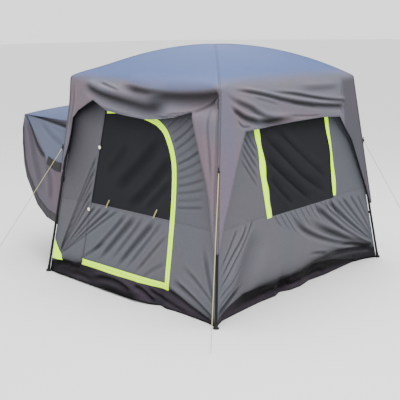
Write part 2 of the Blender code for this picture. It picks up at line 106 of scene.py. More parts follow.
# Folds of the fly's sides
FLAP_FOLDS = [
    Fold([(0.945, 1.86), (0.99, 1.4), (1.03, 0.95), (1.06, 0.66)], 0.016, 0.005, 0.2, 0.2),
    Fold([(0.86, 1.8), (0.87, 1.6), (0.92, 1.38), (0.97, 1.15)], 0.02, 0.005),
    Fold([(-0.93, 1.86), (-0.97, 1.62), (-1.0, 1.42), (-1.03, 1.2)], 0.018, 0.006, 0.2, 0.2),
    Fold([(-0.9, 1.88), (-0.9, 1.74), (-0.93, 1.58), (-0.96, 1.4)], 0.02, 0.007),
]
FRONT_SWAGS = FLAP_FOLDS + [
    Fold([(-0.776, 1.881), (-0.605, 1.838), (-0.455, 1.808), (-0.225, 1.777), (-0.032, 1.752), (0.101, 1.738),
          (0.227, 1.752), (0.4, 1.785)], 0.032, 0.022, 0.12, 0.2, 0.074),
    Fold([(-0.3, 1.94), (-0.105, 1.912), (0.056, 1.892), (0.211, 1.879), (0.457, 1.876), (0.689, 1.886),
          (0.822, 1.898), (0.97, 1.918)], 0.06, 0.04, 0.2, 0.06, 0.088, lip=True),
    Fold([(-0.58, 1.925), (-0.43, 1.892), (-0.22, 1.845)], 0.011, 0.006),
    Fold([(0.94, 1.865), (0.87, 1.82), (0.8, 1.775), (0.7, 1.73), (0.62, 1.715)], 0.016, -0.006, 0.3, 0.3),
    Fold([(0.34, 1.674), (0.51, 1.698), (0.66, 1.716)], 0.009, 0.005, 0.3, 0.1),
    Fold([(0.14, 1.65), (0.32, 1.656), (0.5, 1.676), (0.64, 1.702)], 0.008, 0.0045, 0.3, 0.1),
    Fold([(-0.52, 1.7), (-0.3, 1.665), (-0.05, 1.645)], 0.014, 0.004),
]
RIGHT_SWAGS = [
    Fold([(-0.86, 1.908), (-0.66, 1.88), (-0.43, 1.834), (-0.17, 1.775), (0.11, 1.724), (0.4, 1.683),
          (0.82, 1.643)], 0.011, 0.012, 0.15, 0.06, 0.026),
    Fold([(-0.47, 1.87), (-0.07, 1.824), (0.21, 1.776), (0.51, 1.726), (0.84, 1.685)],
         0.011, 0.008, 0.4, 0.06, 0.02),
    Fold([(0.02, 1.868), (0.42, 1.842), (0.78, 1.835)], 0.03, 0.008, 0.4, 0.3),
    Fold([(-0.1, 1.745), (0.15, 1.7), (0.4, 1.662)], 0.012, 0.004),
    Fold([(-0.95, 1.905), (-0.88, 1.845), (-0.77, 1.795), (-0.63, 1.74), (-0.54, 1.688), (-0.42, 1.638),
          (-0.18, 1.602), (0.06, 1.598)], 0.018, 0.01, 0.25, 0.3, 0.036),
    Fold([(-0.9, 1.785), (-0.8, 1.712), (-0.71, 1.665), (-0.58, 1.628), (-0.41, 1.602), (-0.15, 1.59)],
         0.014, 0.016, 0.15, 0.3, 0.036),
    Fold([(-0.83, 1.66), (-0.75, 1.592), (-0.62, 1.588)], 0.01, 0.005),
    Fold([(-0.15, 1.632), (0.19, 1.6), (0.45, 1.587)], 0.01, 0.004),
    Fold([(-0.6, 1.83), (-0.42, 1.785), (-0.22, 1.735)], 0.014, 0.004),
    Fold([(0.77, 1.9), (0.765, 1.7), (0.76, 1.56)], 0.012, -0.005, 0.2, 0.05, even=True),
]

# Edges of the fly's hem from its lower edge, half its corner seam, and the seam's outer row of stitching
FLY_HEM = (0.0005, 0.011)
CORNER_SEAM_HALF = 0.0045
CORNER_SEAM_ROW = (0.0095, 0.0135)

# Where the fly's cooler roof tone, a painted sky reflection, begins on its front and back: (x, z, how far it
# takes to come in)
ROOF_SKY_REFLECTION = [(-0.96, 1.9, 0.12), (-0.6, 1.9, 0.1), (-0.3, 1.915, 0.06), (-0.105, 1.897, 0.035),
             (0.056, 1.88, 0.03), (0.211, 1.87, 0.025), (0.457, 1.868, 0.025), (0.689, 1.877, 0.025),
             (0.822, 1.889, 0.03), (0.96, 1.9, 0.12)]

# Painted shadow that the fly throws on a wall along its edge: (along the side, depth, reach)
FLY_SHADOW = {
    "front": [(-1.1, 1.0, 0.15), (-0.66, 0.95, 0.13), (-0.45, 0.6, 0.05), (0.1, 0.4, 0.03),
              (0.6, 0.45, 0.03), (1.1, 0.3, 0.03)],
    "right": [(-1.2, 0.2, 0.03), (-0.75, 0.3, 0.03), (-0.6, 0.95, 0.02), (0.6, 0.95, 0.02),
              (0.72, 0.65, 0.008), (1.2, 0.65, 0.008)],
}

# Door: outer edge of the bright band, its width, and the sewn hinge at the wall's left
DOOR_EDGE = [(-0.548, 1.671), (-0.38, 1.68), (-0.19, 1.672), (0.0, 1.649), (0.154, 1.612),
             (0.228, 1.578), (0.298, 1.528), (0.36, 1.448), (0.42, 1.34), (0.465, 1.2),
             (0.499, 0.946), (0.517, 0.604), (0.529, 0.165)]
DOOR_FOOT = (-0.679, 0.162)
BAND = 0.052
DOOR_SEAM_Z = 0.762
HINGE_BOTTOM = (-0.68, 0.15)
HINGE_TOP = (-0.55, 1.64)
# Stretches of the seam that goes on from the door's across the walls
WALL_SEAMS = {"front": [(-1.0, -0.66), (0.52, 0.99)], "right": [(-1.13, -0.365), (0.615, 1.13)]}
# How far in from the band's outer edge the wall's hole and the door begin, and the door's gap to its hinge
HOLE_INSET = 0.0235
DOOR_INSET = 0.0285
HINGE_GAP = 0.0035
# Height of the band over the cloth and its crown, and the height of flat seams
BAND_LIFT = 0.0022
BAND_CROWN = 0.0012
SEAM_LIFT = 0.0012
# The zip's teeth: spacing, half sizes across and along, offset from the middle, and heights over the cloth
TOOTH_STEP = 0.0032
TOOTH_HALF = (0.0034, 0.0011)
TOOTH_OFFSET = 0.0008
TOOTH_LEVELS = (0.0005, 0.0034)
# Places of toggles and cord loops, the line of one loop, and the bright tab at the wall's corner
TOGGLES = [(-0.572, 1.295), (-0.64, 0.696)]
LOOPS = [(-0.384, 0.783), (0.267, 0.79)]
LOOP_LINE = [(-0.02, -0.04), (-0.004, -0.008), (0.02, 0.036), (0.028, 0.034), (0.004, -0.012),
             (-0.012, -0.042)]
TAB_EDGE = [(-1.062, 0.335), (-1.03, 0.27), (-0.985, 0.215), (-0.95, 0.18), (-0.922, 0.15)]
TAB_CORNER = (-1.088, 0.14)
# Half sizes of a toggle and its height over the cloth, a loop's radius, height and rise, the tab's height
TOGGLE_SIZE = (0.016, 0.01, 0.018)
TOGGLE_LIFT = 0.01
LOOP_RADIUS = 0.0022
LOOP_LIFT = (0.006, 0.008)
TAB_LIFT = 0.003
TAB_STEP = 0.012

# Openings of the other walls
WINDOW = [(-0.358, 0.745), (0.618, 0.745), (0.62, 0.92), (0.626, 1.08), (0.632, 1.2), (0.621, 1.3),
          (0.598, 1.42), (0.58, 1.6), (-0.43, 1.6)]
DOORWAY_SILL = 0.185
LEFT_DOORWAY = [(-0.65, 1.2), (-0.6, 1.34), (-0.47, 1.41), (0.47, 1.41), (0.6, 1.34), (0.65, 1.2)]

# The skirt's lap behind the wall, the level of its hem, its upper edge, and how far the hem stands out
SKIRT_LAP = 0.008
HEM_LEVEL = 0.004
SKIRT_TOP = {
    "front": [(-1.11, 0.1), (-1.02, 0.135), (-0.9, 0.165), (-0.7, 0.165), (0.55, 0.165), (0.68, 0.13),
              (0.83, 0.08), (1.0, 0.03), (1.11, 0.015)],
    "right": [(-1.25, 0.02), (-1.17, 0.06), (-1.06, 0.1), (-0.94, 0.13), (-0.81, 0.155), (-0.6, 0.155),
              (-0.32, 0.135), (-0.14, 0.145), (0.1, 0.16), (0.3, 0.165), (0.55, 0.14), (0.8, 0.08),
              (1.02, 0.02), (1.25, 0.012)],
}
HEM_OUT = {
    "front": [(-1.11, 0.0), (-0.95, 0.03), (-0.6, 0.05), (-0.3, 0.06), (0.17, 0.065), (0.33, 0.03),
              (0.43, -0.03), (0.52, -0.005), (0.63, -0.015), (0.85, -0.02), (1.02, -0.02), (1.11, 0.0)],
    "right": [(-1.25, 0.0), (-1.12, -0.05), (-0.84, -0.06), (-0.57, -0.07), (-0.37, -0.06), (-0.26, -0.1),
              (-0.15, -0.055), (0.0, -0.045), (0.19, -0.08), (0.45, -0.06), (0.7, -0.07), (0.95, -0.08),
              (1.12, -0.05), (1.25, 0.0)],
}

# The floor's mesh spacing, its height, its unevenness, and how far in from the hem it begins to turn up
FLOOR_STEP = 0.05
FLOOR_LIFT = 0.0045
FLOOR_ROUGH = 0.002
FLOOR_TURN_UP = 0.12

# Upper edge of the painted shade on the stretch at the foot of a wall that turns under
PAINTED_SHADE_TOP = {
    "front": [(-1.11, 0.1), (-0.9, 0.165), (0.55, 0.16), (0.68, 0.13), (0.83, 0.09), (1.11, 0.03)],
    "right": [(-1.25, -0.06), (-1.0, 0.04), (-0.85, 0.12), (-0.62, 0.165), (-0.14, 0.155), (0.1, 0.175),
              (0.3, 0.2), (0.5, 0.215), (0.7, 0.195), (0.95, 0.16), (1.25, 0.11)],
}

# How deep the painted shade on the skirt itself is: (along the side, depth at its upper edge, depth at the
# hem)
SKIRT_SHADE = {
    "front": [(-1.11, 0.75, 0.6), (-0.8, 0.8, 0.5), (-0.55, 0.6, 0.3), (-0.36, 0.2, 0.6), (-0.2, 0.1, 0.93),
              (0.14, 0.1, 0.93), (0.25, 0.1, 0.1), (0.6, 0.25, 0.1), (1.11, 0.25, 0.3)],
    "right": [(-1.25, 0.2, 0.1), (-1.0, 0.4, 0.1), (-0.8, 0.97, 0.2), (0.6, 0.97, 0.2), (0.9, 0.8, 0.1),
              (1.25, 0.7, 0.1)],
}
# The hidden sides are cut as the ones that show
for table in (FLY_EDGE, FLY_SHADOW, SKIRT_TOP, HEM_OUT, PAINTED_SHADE_TOP, SKIRT_SHADE):
    table["back"] = table["front"]
for table, seen in ((FLY_SHADOW, "right"), (SKIRT_TOP, "right"), (HEM_OUT, "right"), (PAINTED_SHADE_TOP, "front"),
                    (SKIRT_SHADE, "front")):
    table["left"] = table[seen]

# Folds of the front wall and its door: broad ones across the door, and a fan from the lower left corner
FRONT_FOLDS = [
    Fold([(-0.6, 0.24), (-0.42, 0.42), (-0.26, 0.58), (-0.1, 0.755)], 0.015, 0.006, 0.3, 0.2, 0.024),
    Fold([(-0.46, 0.22), (-0.28, 0.42), (-0.12, 0.6), (0.02, 0.755)], 0.018, 0.0085, 0.3, 0.2, 0.03),
    Fold([(-0.3, 0.24), (-0.16, 0.4), (-0.02, 0.57), (0.12, 0.755)], 0.014, 0.0045, 0.4, 0.2, 0.022),
    Fold([(-0.2, 0.2), (-0.02, 0.42), (0.14, 0.6), (0.28, 0.755)], 0.018, 0.0085, 0.3, 0.2, 0.03),
    Fold([(-0.06, 0.22), (0.1, 0.42), (0.22, 0.57), (0.37, 0.755)], 0.014, 0.0045, 0.3, 0.2, 0.022),
    Fold([(0.06, 0.2), (0.2, 0.37), (0.34, 0.53), (0.46, 0.66)], 0.016, 0.0055, 0.3, 0.3),
    Fold([(0.18, 0.2), (0.31, 0.31), (0.46, 0.4)], 0.018, 0.0038),
    Fold([(-0.7, 0.2), (-0.54, 0.32), (-0.36, 0.44)], 0.016, 0.005),
]
# The fan's foot, and the ends of its folds
FAN_FOOT = (-1.02, 0.17)
FAN_ENDS = [(-0.6, 1.25), (-0.61, 1.13), (-0.62, 1.01), (-0.63, 0.9), (-0.635, 0.8), (-0.55, 0.76),
            (-0.45, 0.76), (-0.33, 0.76), (-0.22, 0.76)]
# Slack of the door's net
NET_FOLDS = [
    Fold([(-0.16, 0.78), (0.02, 0.92), (0.2, 1.1), (0.42, 1.36)], 0.045, 0.018),
    Fold([(-0.34, 0.92), (-0.14, 1.1), (0.08, 1.31), (0.24, 1.52)], 0.05, 0.018),
    Fold([(-0.5, 1.06), (-0.34, 1.2), (-0.18, 1.4)], 0.045, 0.01),
    Fold([(0.1, 0.8), (0.26, 0.95), (0.42, 1.12)], 0.035, 0.01),
]
# Pulls at the front wall's lower corners, and waves of its hem
FRONT_CORNER_FOLDS = [
    Fold([(0.56, 0.28), (0.72, 0.225), (0.88, 0.155), (1.07, 0.06)], 0.026, 0.016, 0.3, 0.1, 0.012),
    Fold([(0.52, 0.19), (0.68, 0.14), (0.83, 0.09), (1.06, 0.03)], 0.024, 0.018, 0.1, 0.1, 0.01),
    Fold([(0.64, 0.43), (0.84, 0.33), (1.06, 0.18)], 0.026, 0.008, 0.4, 0.1, 0.014),
    Fold([(0.86, 0.66), (0.96, 0.4), (1.08, 0.12)], 0.024, -0.009, 0.4, 0.1, 0.012),
    Fold([(1.0, 0.72), (1.05, 0.45), (1.09, 0.18)], 0.016, -0.007, 0.4, 0.1, 0.01),
    Fold([(-1.06, 0.1), (-0.9, 0.145), (-0.74, 0.135), (-0.55, 0.1)], 0.022, 0.018, 0.15, 0.4),
    Fold([(-0.8, 0.07), (-0.6, 0.08), (-0.42, 0.06)], 0.02, 0.01),
    Fold([(-0.5, 0.075), (-0.3, 0.115), (-0.1, 0.12), (0.08, 0.085), (0.16, 0.05)], 0.024, 0.018, 0.3, 0.2),
    Fold([(0.12, 0.135), (0.22, 0.125), (0.32, 0.085), (0.4, 0.03)], 0.02, 0.016, 0.2, 0.2),
    Fold([(0.3, 0.15), (0.42, 0.1), (0.55, 0.07)], 0.016, 0.01),
    Fold([(0.44, 0.115), (0.62, 0.06), (0.8, 0.03)], 0.018, 0.008),
]

# Folds of the wall with the window
RIGHT_FOLDS = [
    Fold([(-0.62, 1.56), (-0.55, 1.44), (-0.47, 1.33)], 0.009, 0.0045),
    Fold([(-0.66, 1.52), (-0.58, 1.39), (-0.48, 1.26)], 0.009, 0.005),
    Fold([(-0.69, 1.46), (-0.6, 1.33), (-0.49, 1.18)], 0.01, 0.005),
    Fold([(-0.71, 1.4), (-0.62, 1.26), (-0.5, 1.1)], 0.01, 0.0045),
    Fold([(-0.73, 1.32), (-0.62, 1.17), (-0.52, 1.03)], 0.01, 0.004),
    Fold([(-1.18, 0.28), (-1.02, 0.43), (-0.84, 0.59), (-0.63, 0.78)], 0.01, 0.007, 0.2, 0.15, 0.022),
    Fold([(-1.16, 0.36), (-1.0, 0.52), (-0.86, 0.64), (-0.74, 0.76)], 0.009, 0.0055, 0.3, 0.15, 0.018),
    Fold([(-1.14, 0.45), (-1.01, 0.59), (-0.88, 0.74)], 0.009, 0.005, 0.3, 0.15, 0.016),
    Fold([(-1.17, 0.2), (-1.0, 0.33), (-0.8, 0.46)], 0.012, 0.006, 0.2, 0.4),
    Fold([(-1.19, 0.12), (-1.04, 0.22), (-0.86, 0.32)], 0.012, 0.006, 0.2, 0.4),
    Fold([(-1.21, 0.05), (-1.08, 0.12), (-0.95, 0.2), (-0.8, 0.25)], 0.014, -0.012, 0.2, 0.4),
    Fold([(-0.08, 0.74), (0.04, 0.585), (0.24, 0.46), (0.58, 0.325), (0.95, 0.215), (1.21, 0.135)],
         0.026, 0.015, 0.2, 0.08, 0.018),
    Fold([(0.14, 0.66), (0.24, 0.585), (0.4, 0.495), (0.68, 0.365), (0.98, 0.235), (1.21, 0.145)],
         0.034, 0.022, 0.4, 0.05, 0.028),
    Fold([(0.28, 0.745), (0.5, 0.585), (0.74, 0.415), (1.02, 0.25), (1.21, 0.155)],
         0.026, 0.015, 0.15, 0.06, 0.012),
    Fold([(0.42, 0.745), (0.64, 0.57), (0.9, 0.38), (1.21, 0.175)], 0.016, 0.006, 0.15, 0.06, 0.009),
    Fold([(0.52, 0.745), (0.78, 0.53), (1.02, 0.34), (1.215, 0.19)], 0.024, 0.0135, 0.12, 0.06, 0.009),
    Fold([(0.66, 0.74), (0.86, 0.54), (1.08, 0.34), (1.22, 0.205)], 0.014, 0.005, 0.12, 0.06, 0.008),
    Fold([(0.76, 0.74), (0.94, 0.54), (1.12, 0.33), (1.22, 0.22)], 0.018, 0.008, 0.12, 0.06, 0.008),
    Fold([(0.89, 0.74), (1.04, 0.53), (1.19, 0.28)], 0.014, 0.006, 0.12, 0.06, 0.008),
    Fold([(1.0, 0.72), (1.1, 0.53), (1.2, 0.34)], 0.011, 0.0045, 0.12, 0.06, 0.008),
    Fold([(1.215, 0.12), (0.98, 0.165), (0.74, 0.2), (0.5, 0.235)], 0.02, -0.024, 0.1, 0.3, 0.03),
    Fold([(1.21, 0.145), (1.0, 0.2), (0.8, 0.25), (0.6, 0.275)], 0.012, -0.012, 0.1, 0.4, 0.018),
    Fold([(0.46, 0.235), (0.28, 0.275), (0.12, 0.3)], 0.016, -0.008, 0.2, 0.5),
    Fold([(-0.62, 0.74), (-0.82, 0.45), (-1.02, 0.15)], 0.11, -0.022),
    Fold([(-0.62, 0.08), (-0.45, 0.11), (-0.3, 0.07)], 0.018, 0.012),
    Fold([(-0.22, 0.11), (-0.1, 0.08), (0.02, 0.11)], 0.018, 0.012),
    Fold([(0.1, 0.06), (0.28, 0.1), (0.44, 0.07)], 0.018, 0.012),
]
# Short gathers under the window: the distance along the wall where each starts
WINDOW_GATHERS = [-0.33, -0.25, -0.18, -0.1, -0.03, 0.06, 0.14, 0.22, 0.3, 0.4, 0.47, 0.56]
# Slack of the windows' nets
WINDOW_NET_FOLDS = [
    Fold([(-0.4, 1.5), (-0.1, 1.24), (0.2, 1.0), (0.56, 0.8)], 0.038, -0.024),
    Fold([(-0.4, 1.3), (-0.12, 1.06), (0.14, 0.86), (0.3, 0.76)], 0.034, -0.024),
    Fold([(-0.36, 1.1), (-0.18, 0.92), (-0.02, 0.78)], 0.03, -0.018),
    Fold([(-0.2, 1.52), (0.1, 1.28), (0.4, 1.06), (0.58, 0.94)], 0.034, -0.016),
]

# Bright strips at the window's sides: (z, outer edge, inner edge), from the top down
STRIP_NEAR = [(1.6, -0.498, -0.44), (1.47, -0.494, -0.422), (1.38, -0.474, -0.422), (1.28, -0.468, -0.398),
              (1.18, -0.474, -0.388), (1.08, -0.466, -0.396), (0.98, -0.46, -0.38), (0.88, -0.452, -0.386),
              (0.8, -0.446, -0.376), (0.738, -0.44, -0.374)]
STRIP_FAR = [(1.6, 0.578, 0.636), (1.42, 0.594, 0.644), (1.3, 0.618, 0.654), (1.2, 0.63, 0.658),
             (1.08, 0.622, 0.664), (0.92, 0.616, 0.676), (0.82, 0.616, 0.668), (0.765, 0.62, 0.658)]

# Sleeve, as the frame has it: its edge, its hem from the leg to the car end, and its folds
SLEEVE_END_X = 1.9
SLEEVE_EDGE_Y = (0.93, 0.95)
SLEEVE_EDGE_Z = (1.49, 1.525)
SLEEVE_CROWN = (0.035, 0.055)
SLEEVE_HEM = [(-1.049, -1.13, 0.47), (-1.15, -1.175, 0.48), (-1.387, -1.12, 0.493), (-1.623, -1.06, 0.581),
              (-1.768, -1.02, 0.701), (-1.907, -0.985, 0.838), (-1.968, -0.965, 0.983),
              (-1.988, -0.955, 1.18), (-1.955, -0.95, 1.36)]
SLEEVE_STEP = 0.018
# The sleeve's trim: its hem's band of painted shade, half its piping, how deep the strips beside that are at
# the leg, a patch
SLEEVE_BAND = 0.085
SLEEVE_PIPING = 0.008
SLEEVE_STRIPS = (0.07, 0.3)
SLEEVE_PATCH_HALF = 0.045
SLEEVE_PATCH = [(0.4, 0.475), (0.3, 0.475), (0.2, 0.46)]
SLEEVE_FOLDS = [
    Fold([(1.0, 0.03), (0.91, 0.19), (0.81, 0.32), (0.69, 0.41), (0.56, 0.465), (0.42, 0.49)],
         0.01, -0.009, 0.1, 0.1, 0.018),
    Fold([(1.0, 0.006), (0.75, 0.022), (0.45, 0.042), (0.15, 0.066), (0.0, 0.078)],
         0.01, -0.01, 0.1, 0.1, 0.024),
    Fold([(0.95, 0.2), (0.8, 0.45), (0.55, 0.68), (0.3, 0.86)], 0.05, -0.008),
    Fold([(0.7, 0.1), (0.45, 0.2), (0.2, 0.26)], 0.03, -0.006),
    Fold([(0.42, 0.5), (0.3, 0.66), (0.24, 0.84)], 0.03, -0.006),
]

# Guy lines, as the frame has them
RING_Z = 1.263
STAKES = {"front_left": (-1.65, -1.7), "front_right": (1.42, -1.65), "back_right": (1.48, 1.69),
          "back_left": (-1.65, 1.7)}
STAKE_HEIGHT = 0.035
GUY_RADIUS = 0.0028
# How far under its top a stake holds the line, its rod's radius, and the ring's reach and half sizes
HOOK_DROP = 0.008
STAKE_RADIUS = 0.003
RING_OUT = 0.006
RING_SIZE = (0.011, 0.011, 0.014)
# The ring's collar round the corner seam: its reach, half its height, and its radius
COLLAR_OUT = 0.003
COLLAR_HALF = 0.035
COLLAR_RADIUS = 0.005
# Points of a stake as (height, reach out from its foot)
STAKE_ROD = [(0.0, 0.0), (0.024, 0.0), (0.033, 0.004), (0.035, 0.012), (0.033, 0.021)]

# The front left corner of the eave is pulled up and out a little over a short reach
EAVE_PULL = (-0.018, -0.006, 0.04)
EAVE_PULL_REACH = (0.3, 0.3, 0.16)

# Camera: sensor width, lens as a share of it, place, and azimuth, pitch and roll in radians
SENSOR = 36.0
FOCAL_SHARE = 735.5 / 400
CAMERA_PLACE = (4.9034, -5.4605, 2.3686)
CAMERA_TURN = (0.7535, -0.2255, -0.014)
# Lamps as (name, place, size, power, colour)
LIGHTS = [("key", (4.2, -3.0, 5.6), 2.5, 260.0, (1.0, 0.98, 0.96)),
          ("top", (-0.5, 0.3, 6.5), 4.0, 420.0, (0.9, 0.95, 1.0))]
SKY_STRENGTH = 1.7
STAGE_HALF = 150.0


def mix(a, b, t):
    return a + (b - a) * t


def ease(t):
    t = np.clip(t, 0.0, 1.0)
    return t * t * (3 - 2 * t)


def smooth_line(points, steps=6):
    """Catmull-Rom curve through points, as an array."""
    p = np.array(points, float)
    p = np.vstack([2 * p[0] - p[1], p, 2 * p[-1] - p[-2]])
    out = []
    for i in range(1, len(p) - 2):
        for k in range(steps):
            t = k / steps
            out.append(0.5 * (2 * p[i] + (p[i + 1] - p[i - 1]) * t
                              + (2 * p[i - 1] - 5 * p[i] + 4 * p[i + 1] - p[i + 2]) * t ** 2
                              + (3 * p[i] - p[i - 1] - 3 * p[i + 1] + p[i + 2]) * t ** 3))
    out.append(p[-2])
    return np.array(out)


def resample(points, step, closed=False):
    """The line with extra points, so that no stretch is longer than step."""
    p = np.array(points, float)
    if closed:
        p = np.vstack([p, p[:1]])
    out = []
    for a, b in zip(p, p[1:]):
        count = max(1, math.ceil(np.linalg.norm(b - a) / step))
        out += [a + (b - a) * k / count for k in range(count)]
    if not closed:
        out.append(p[-1])
    return np.array(out)


def fold_relief(u, v, fold):
    """Height of one fold at each point, and the painted shade there: dark in its hollow, and negative for the
    painted highlights on its crest and on the lip past the hollow.
    """
    line = smooth_line(fold.line)
    a, d = line[:-1], np.diff(line, axis=0)
    length = np.hypot(*d.T)
    before = np.concatenate([[0.0], np.cumsum(length)[:-1]])
    height, shade = np.zeros(len(u)), np.zeros(len(u))
    wide = fold.wide or fold.width
    reach = 3.2 * max(fold.width, wide)
    low, high = line.min(0) - reach, line.max(0) + reach
    near = np.flatnonzero((u > low[0]) & (u < high[0]) & (v > low[1]) & (v < high[1]))
    if not len(near):
        return height, shade
    rel_u = u[near, None] - a[None, :, 0]
    rel_v = v[near, None] - a[None, :, 1]
    t = np.clip((rel_u * d[:, 0] + rel_v * d[:, 1]) / length ** 2, 0, 1)
    away = np.hypot(rel_u - t * d[:, 0], rel_v - t * d[:, 1])
    best = away.argmin(1)
    row = np.arange(len(near))
    side = np.sign(d[best, 0] * rel_v[row, best] - d[best, 1] * rel_u[row, best])
    run = (before[best] + t[row, best] * length[best]) / length.sum()
    width = mix(fold.width, wide, run)
    s = away[row, best] * side / width
    env = ease(run / fold.start) * ease((1 - run) / fold.end)
    steep = min(1.0, 1.4 * abs(fold.height) / fold.width)
    if fold.even:
        height[near] = fold.height * np.exp(-s * s) * env * width / fold.width
        shade[near] = 0.6 * steep * np.exp(-s * s) * env
    else:
        down = -s if fold.height > 0 else s
        rise = -abs(fold.height) * down * np.exp(0.5 - s * s / 2) * env * width / fold.width
        height[near] = np.where(down < 0, LIP_RISE * rise, rise) if fold.lip else rise
        # Painted shade in the fold's hollow, less painted highlights on its crest and on the lip past the
        # hollow
        middle, above, below = (0.35, 0.4, 1.15) if fold.lip else (0.15, 0.75, 1.0)
        dark = np.exp(-((down - middle) / np.where(down < middle, above, below)) ** 2)
        crest = 0.5 * np.exp(-(down + 1.3) ** 2) if fold.lip else np.exp(-((down + 1.3) / 0.5) ** 2)
        light = crest + 1.3 * np.exp(-((down - 2.1) / 0.7) ** 2)
        shade[near] = steep * (dark - 0.22 * light) * env
    return height, shade


def ripple(points, scale, depth):
    """Slow unevenness of hanging cloth at world points."""
    return np.array([noise.noise(Vector(p) * scale) for p in points]) * depth


class Cloth:
    """A surface given by a function of two flat coordinates, with folds that lift it along its normal."""

    def __init__(self, plain, folds=(), half=None, swell=None, rough=0.003, dusk=None, turn=1.0, held=None):
        """Folds die out at half, swell adds height, held scales it, and a function of painted shade adds more
        painted shade.
        """
        self.plain, self.folds, self.half, self.swell = plain, folds, half, swell
        self.rough, self.dusk, self.turn, self.held = rough, dusk, turn, held

    def frame(self, u, v):
        """Plain points and unit normals, which point out where turn is right."""
        eps = 0.002
        p = self.plain(u, v)
        along = self.plain(u + eps, v) - self.plain(u - eps, v)
        up = self.plain(u, v + eps) - self.plain(u, v - eps)
        n = np.cross(along, up) * self.turn
        return p, n / np.linalg.norm(n, axis=1, keepdims=True)

    def relief(self, u, v, p):
        height = ripple(p, 3.1, self.rough) if self.rough else np.zeros(len(u))
        shade = np.zeros(len(u))
        for fold in self.folds:
            h, s = fold_relief(u, v, fold)
            height += h
            shade = shade + s * (1 - 0.6 * np.abs(shade))
        if self.swell:
            height += self.swell(u, v)
        if self.half:
            edge = ease((self.half(v) - np.abs(u)) / 0.05)
            height, shade = height * edge, shade * edge
        if self.held:
            height *= self.held(u, v)
        # Painted shade beyond that of the folds
        if self.dusk:
            shade = shade + self.dusk(u, v) * (1 - np.clip(shade, 0, 1))
        return height, np.clip(shade, -0.6, 1.0)

    def place(self, u, v, lift=0.0):
        """World points and shade of points on the folded cloth, lifted off it."""
        u, v = np.asarray(u, float), np.asarray(v, float)
        p, n = self.frame(u, v)
        height, shade = self.relief(u, v, p)
        placed = p + n * (height + lift)[:, None]
        z = placed[:, 2]
        bent = 0.001 + (GROUND_EASE - 0.001) * np.exp(np.minimum(z, GROUND_EASE) / GROUND_EASE - 1)
        placed[:, 2] = np.where(z < GROUND_EASE, bent, z)
        return placed, shade


def on_side(side, along, out, z):
    """World points at a distance out from the middle, on one of the four sides, seen from outside."""
    points = {"front": (along, -out, z), "back": (-along, out, z),
              "right": (out, along, z), "left": (-out, -along, z)}[side]
    return np.stack(np.broadcast_arrays(*points), axis=-1)


def across(side):
    return 1 if side in ("front", "back") else 0


def mirrored(side):
    """The back and the left side are built as the front and the right are, seen in a mirror."""
    return -1.0 if side in ("back", "left") else 1.0


def fly_half(index, w):
    """Half size of the fly at w: below the eave in metres, or up the roof as a share of the way."""
    below = mix(EAVE[index], FLY_BASE[index], -w / EAVE_Z)
    return np.where(w < 0, below, EAVE[index] * (1 - w))


def fly_level(w):
    return np.where(w < 0, EAVE_Z + w, EAVE_Z + (PEAK_Z - EAVE_Z) * (1 - (1 - w) ** 2))


def fly_cloth(side):
    """One side of the fly with its roof gore. v is z, and above the eave it goes on up the roof."""
    own = across(side)
    folds = FRONT_SWAGS if side in ("front", "back") else RIGHT_SWAGS
    turn = mirrored(side)

    def sharp(q, w):
        half, out, z = fly_half(1 - own, w), fly_half(own, w), fly_level(w)
        sag = 0.014 * (1 - q * q) * np.clip(w, 0, 1) * (1 - np.clip(w, 0, 1)) * 4
        return on_side(side, turn * q * half, out, z - sag)

    def plain(u, v):
        w = v - EAVE_Z
        q = u / np.maximum(fly_half(1 - own, w), 1e-4)
        bend = 0.012 + 0.11 * np.clip(1 - q * q, 0, 1) ** 0.8
        total = 0.0
        for k in range(-3, 4):
            total = total + sharp(q, w + bend * k / 3)
        p = total / 7
        away = (p - np.array([-EAVE[0], -EAVE[1], EAVE_Z])) / EAVE_PULL_REACH
        return p + np.exp(-(away ** 2).sum(1))[:, None] * np.array(EAVE_PULL)

    def half(v):
        return fly_half(1 - own, v - EAVE_Z)

    # Painted shade on the flap at the far end of a side, which faces away from the light
    def dusk(u, v):
        far = 0.5 if own == 0 else 0.0
        return far * ease((u - 0.775) / 0.03) * ease((EAVE_Z + 0.02 - v) / 0.08)

    return Cloth(plain, folds, half, dusk=dusk, turn=turn)


def level_line(start, end, v, count):
    """Points evenly along u at one v."""
    return np.stack([np.linspace(start, end, count), np.full(count, v)], axis=-1)


def line_distance(u, v, line):
    """Distance of each point from an open line."""
    a, d = line[:-1], np.diff(line, axis=0)
    rel_u, rel_v = u[:, None] - a[None, :, 0], v[:, None] - a[None, :, 1]
    t = np.clip((rel_u * d[:, 0] + rel_v * d[:, 1]) / (d ** 2).sum(1), 0, 1)
    return np.hypot(rel_u - t * d[:, 0], rel_v - t * d[:, 1]).min(1)


def wall_half(index, z):
    return mix(WALL_BASE[index], WALL_TOP[index], z / WALL_TOP_Z)


def corner_pull(index, z):
    """How far a wall's corner stands out of its plane, so that it follows the leg from inside."""
    leg = mix(FOOT[index], LEG_TOP[index], z / LEG_TOP_Z) - LEG_CLEARANCE
    return np.maximum(leg - wall_half(index, z), 0.0)


def gathers():
    """Short folds that run down from the window's lower edge."""
    folds = []
    for k, u in enumerate(WINDOW_GATHERS):
        long = 0.1 + 0.05 * (k % 3)
        folds.append(Fold([(u, 0.738), (u + 0.5 * long, 0.738 - 0.75 * long), (u + long, 0.738 - 1.3 * long)],
                          0.01 + 0.002 * (k % 2), -0.006, 0.06, 0.6))
    return folds


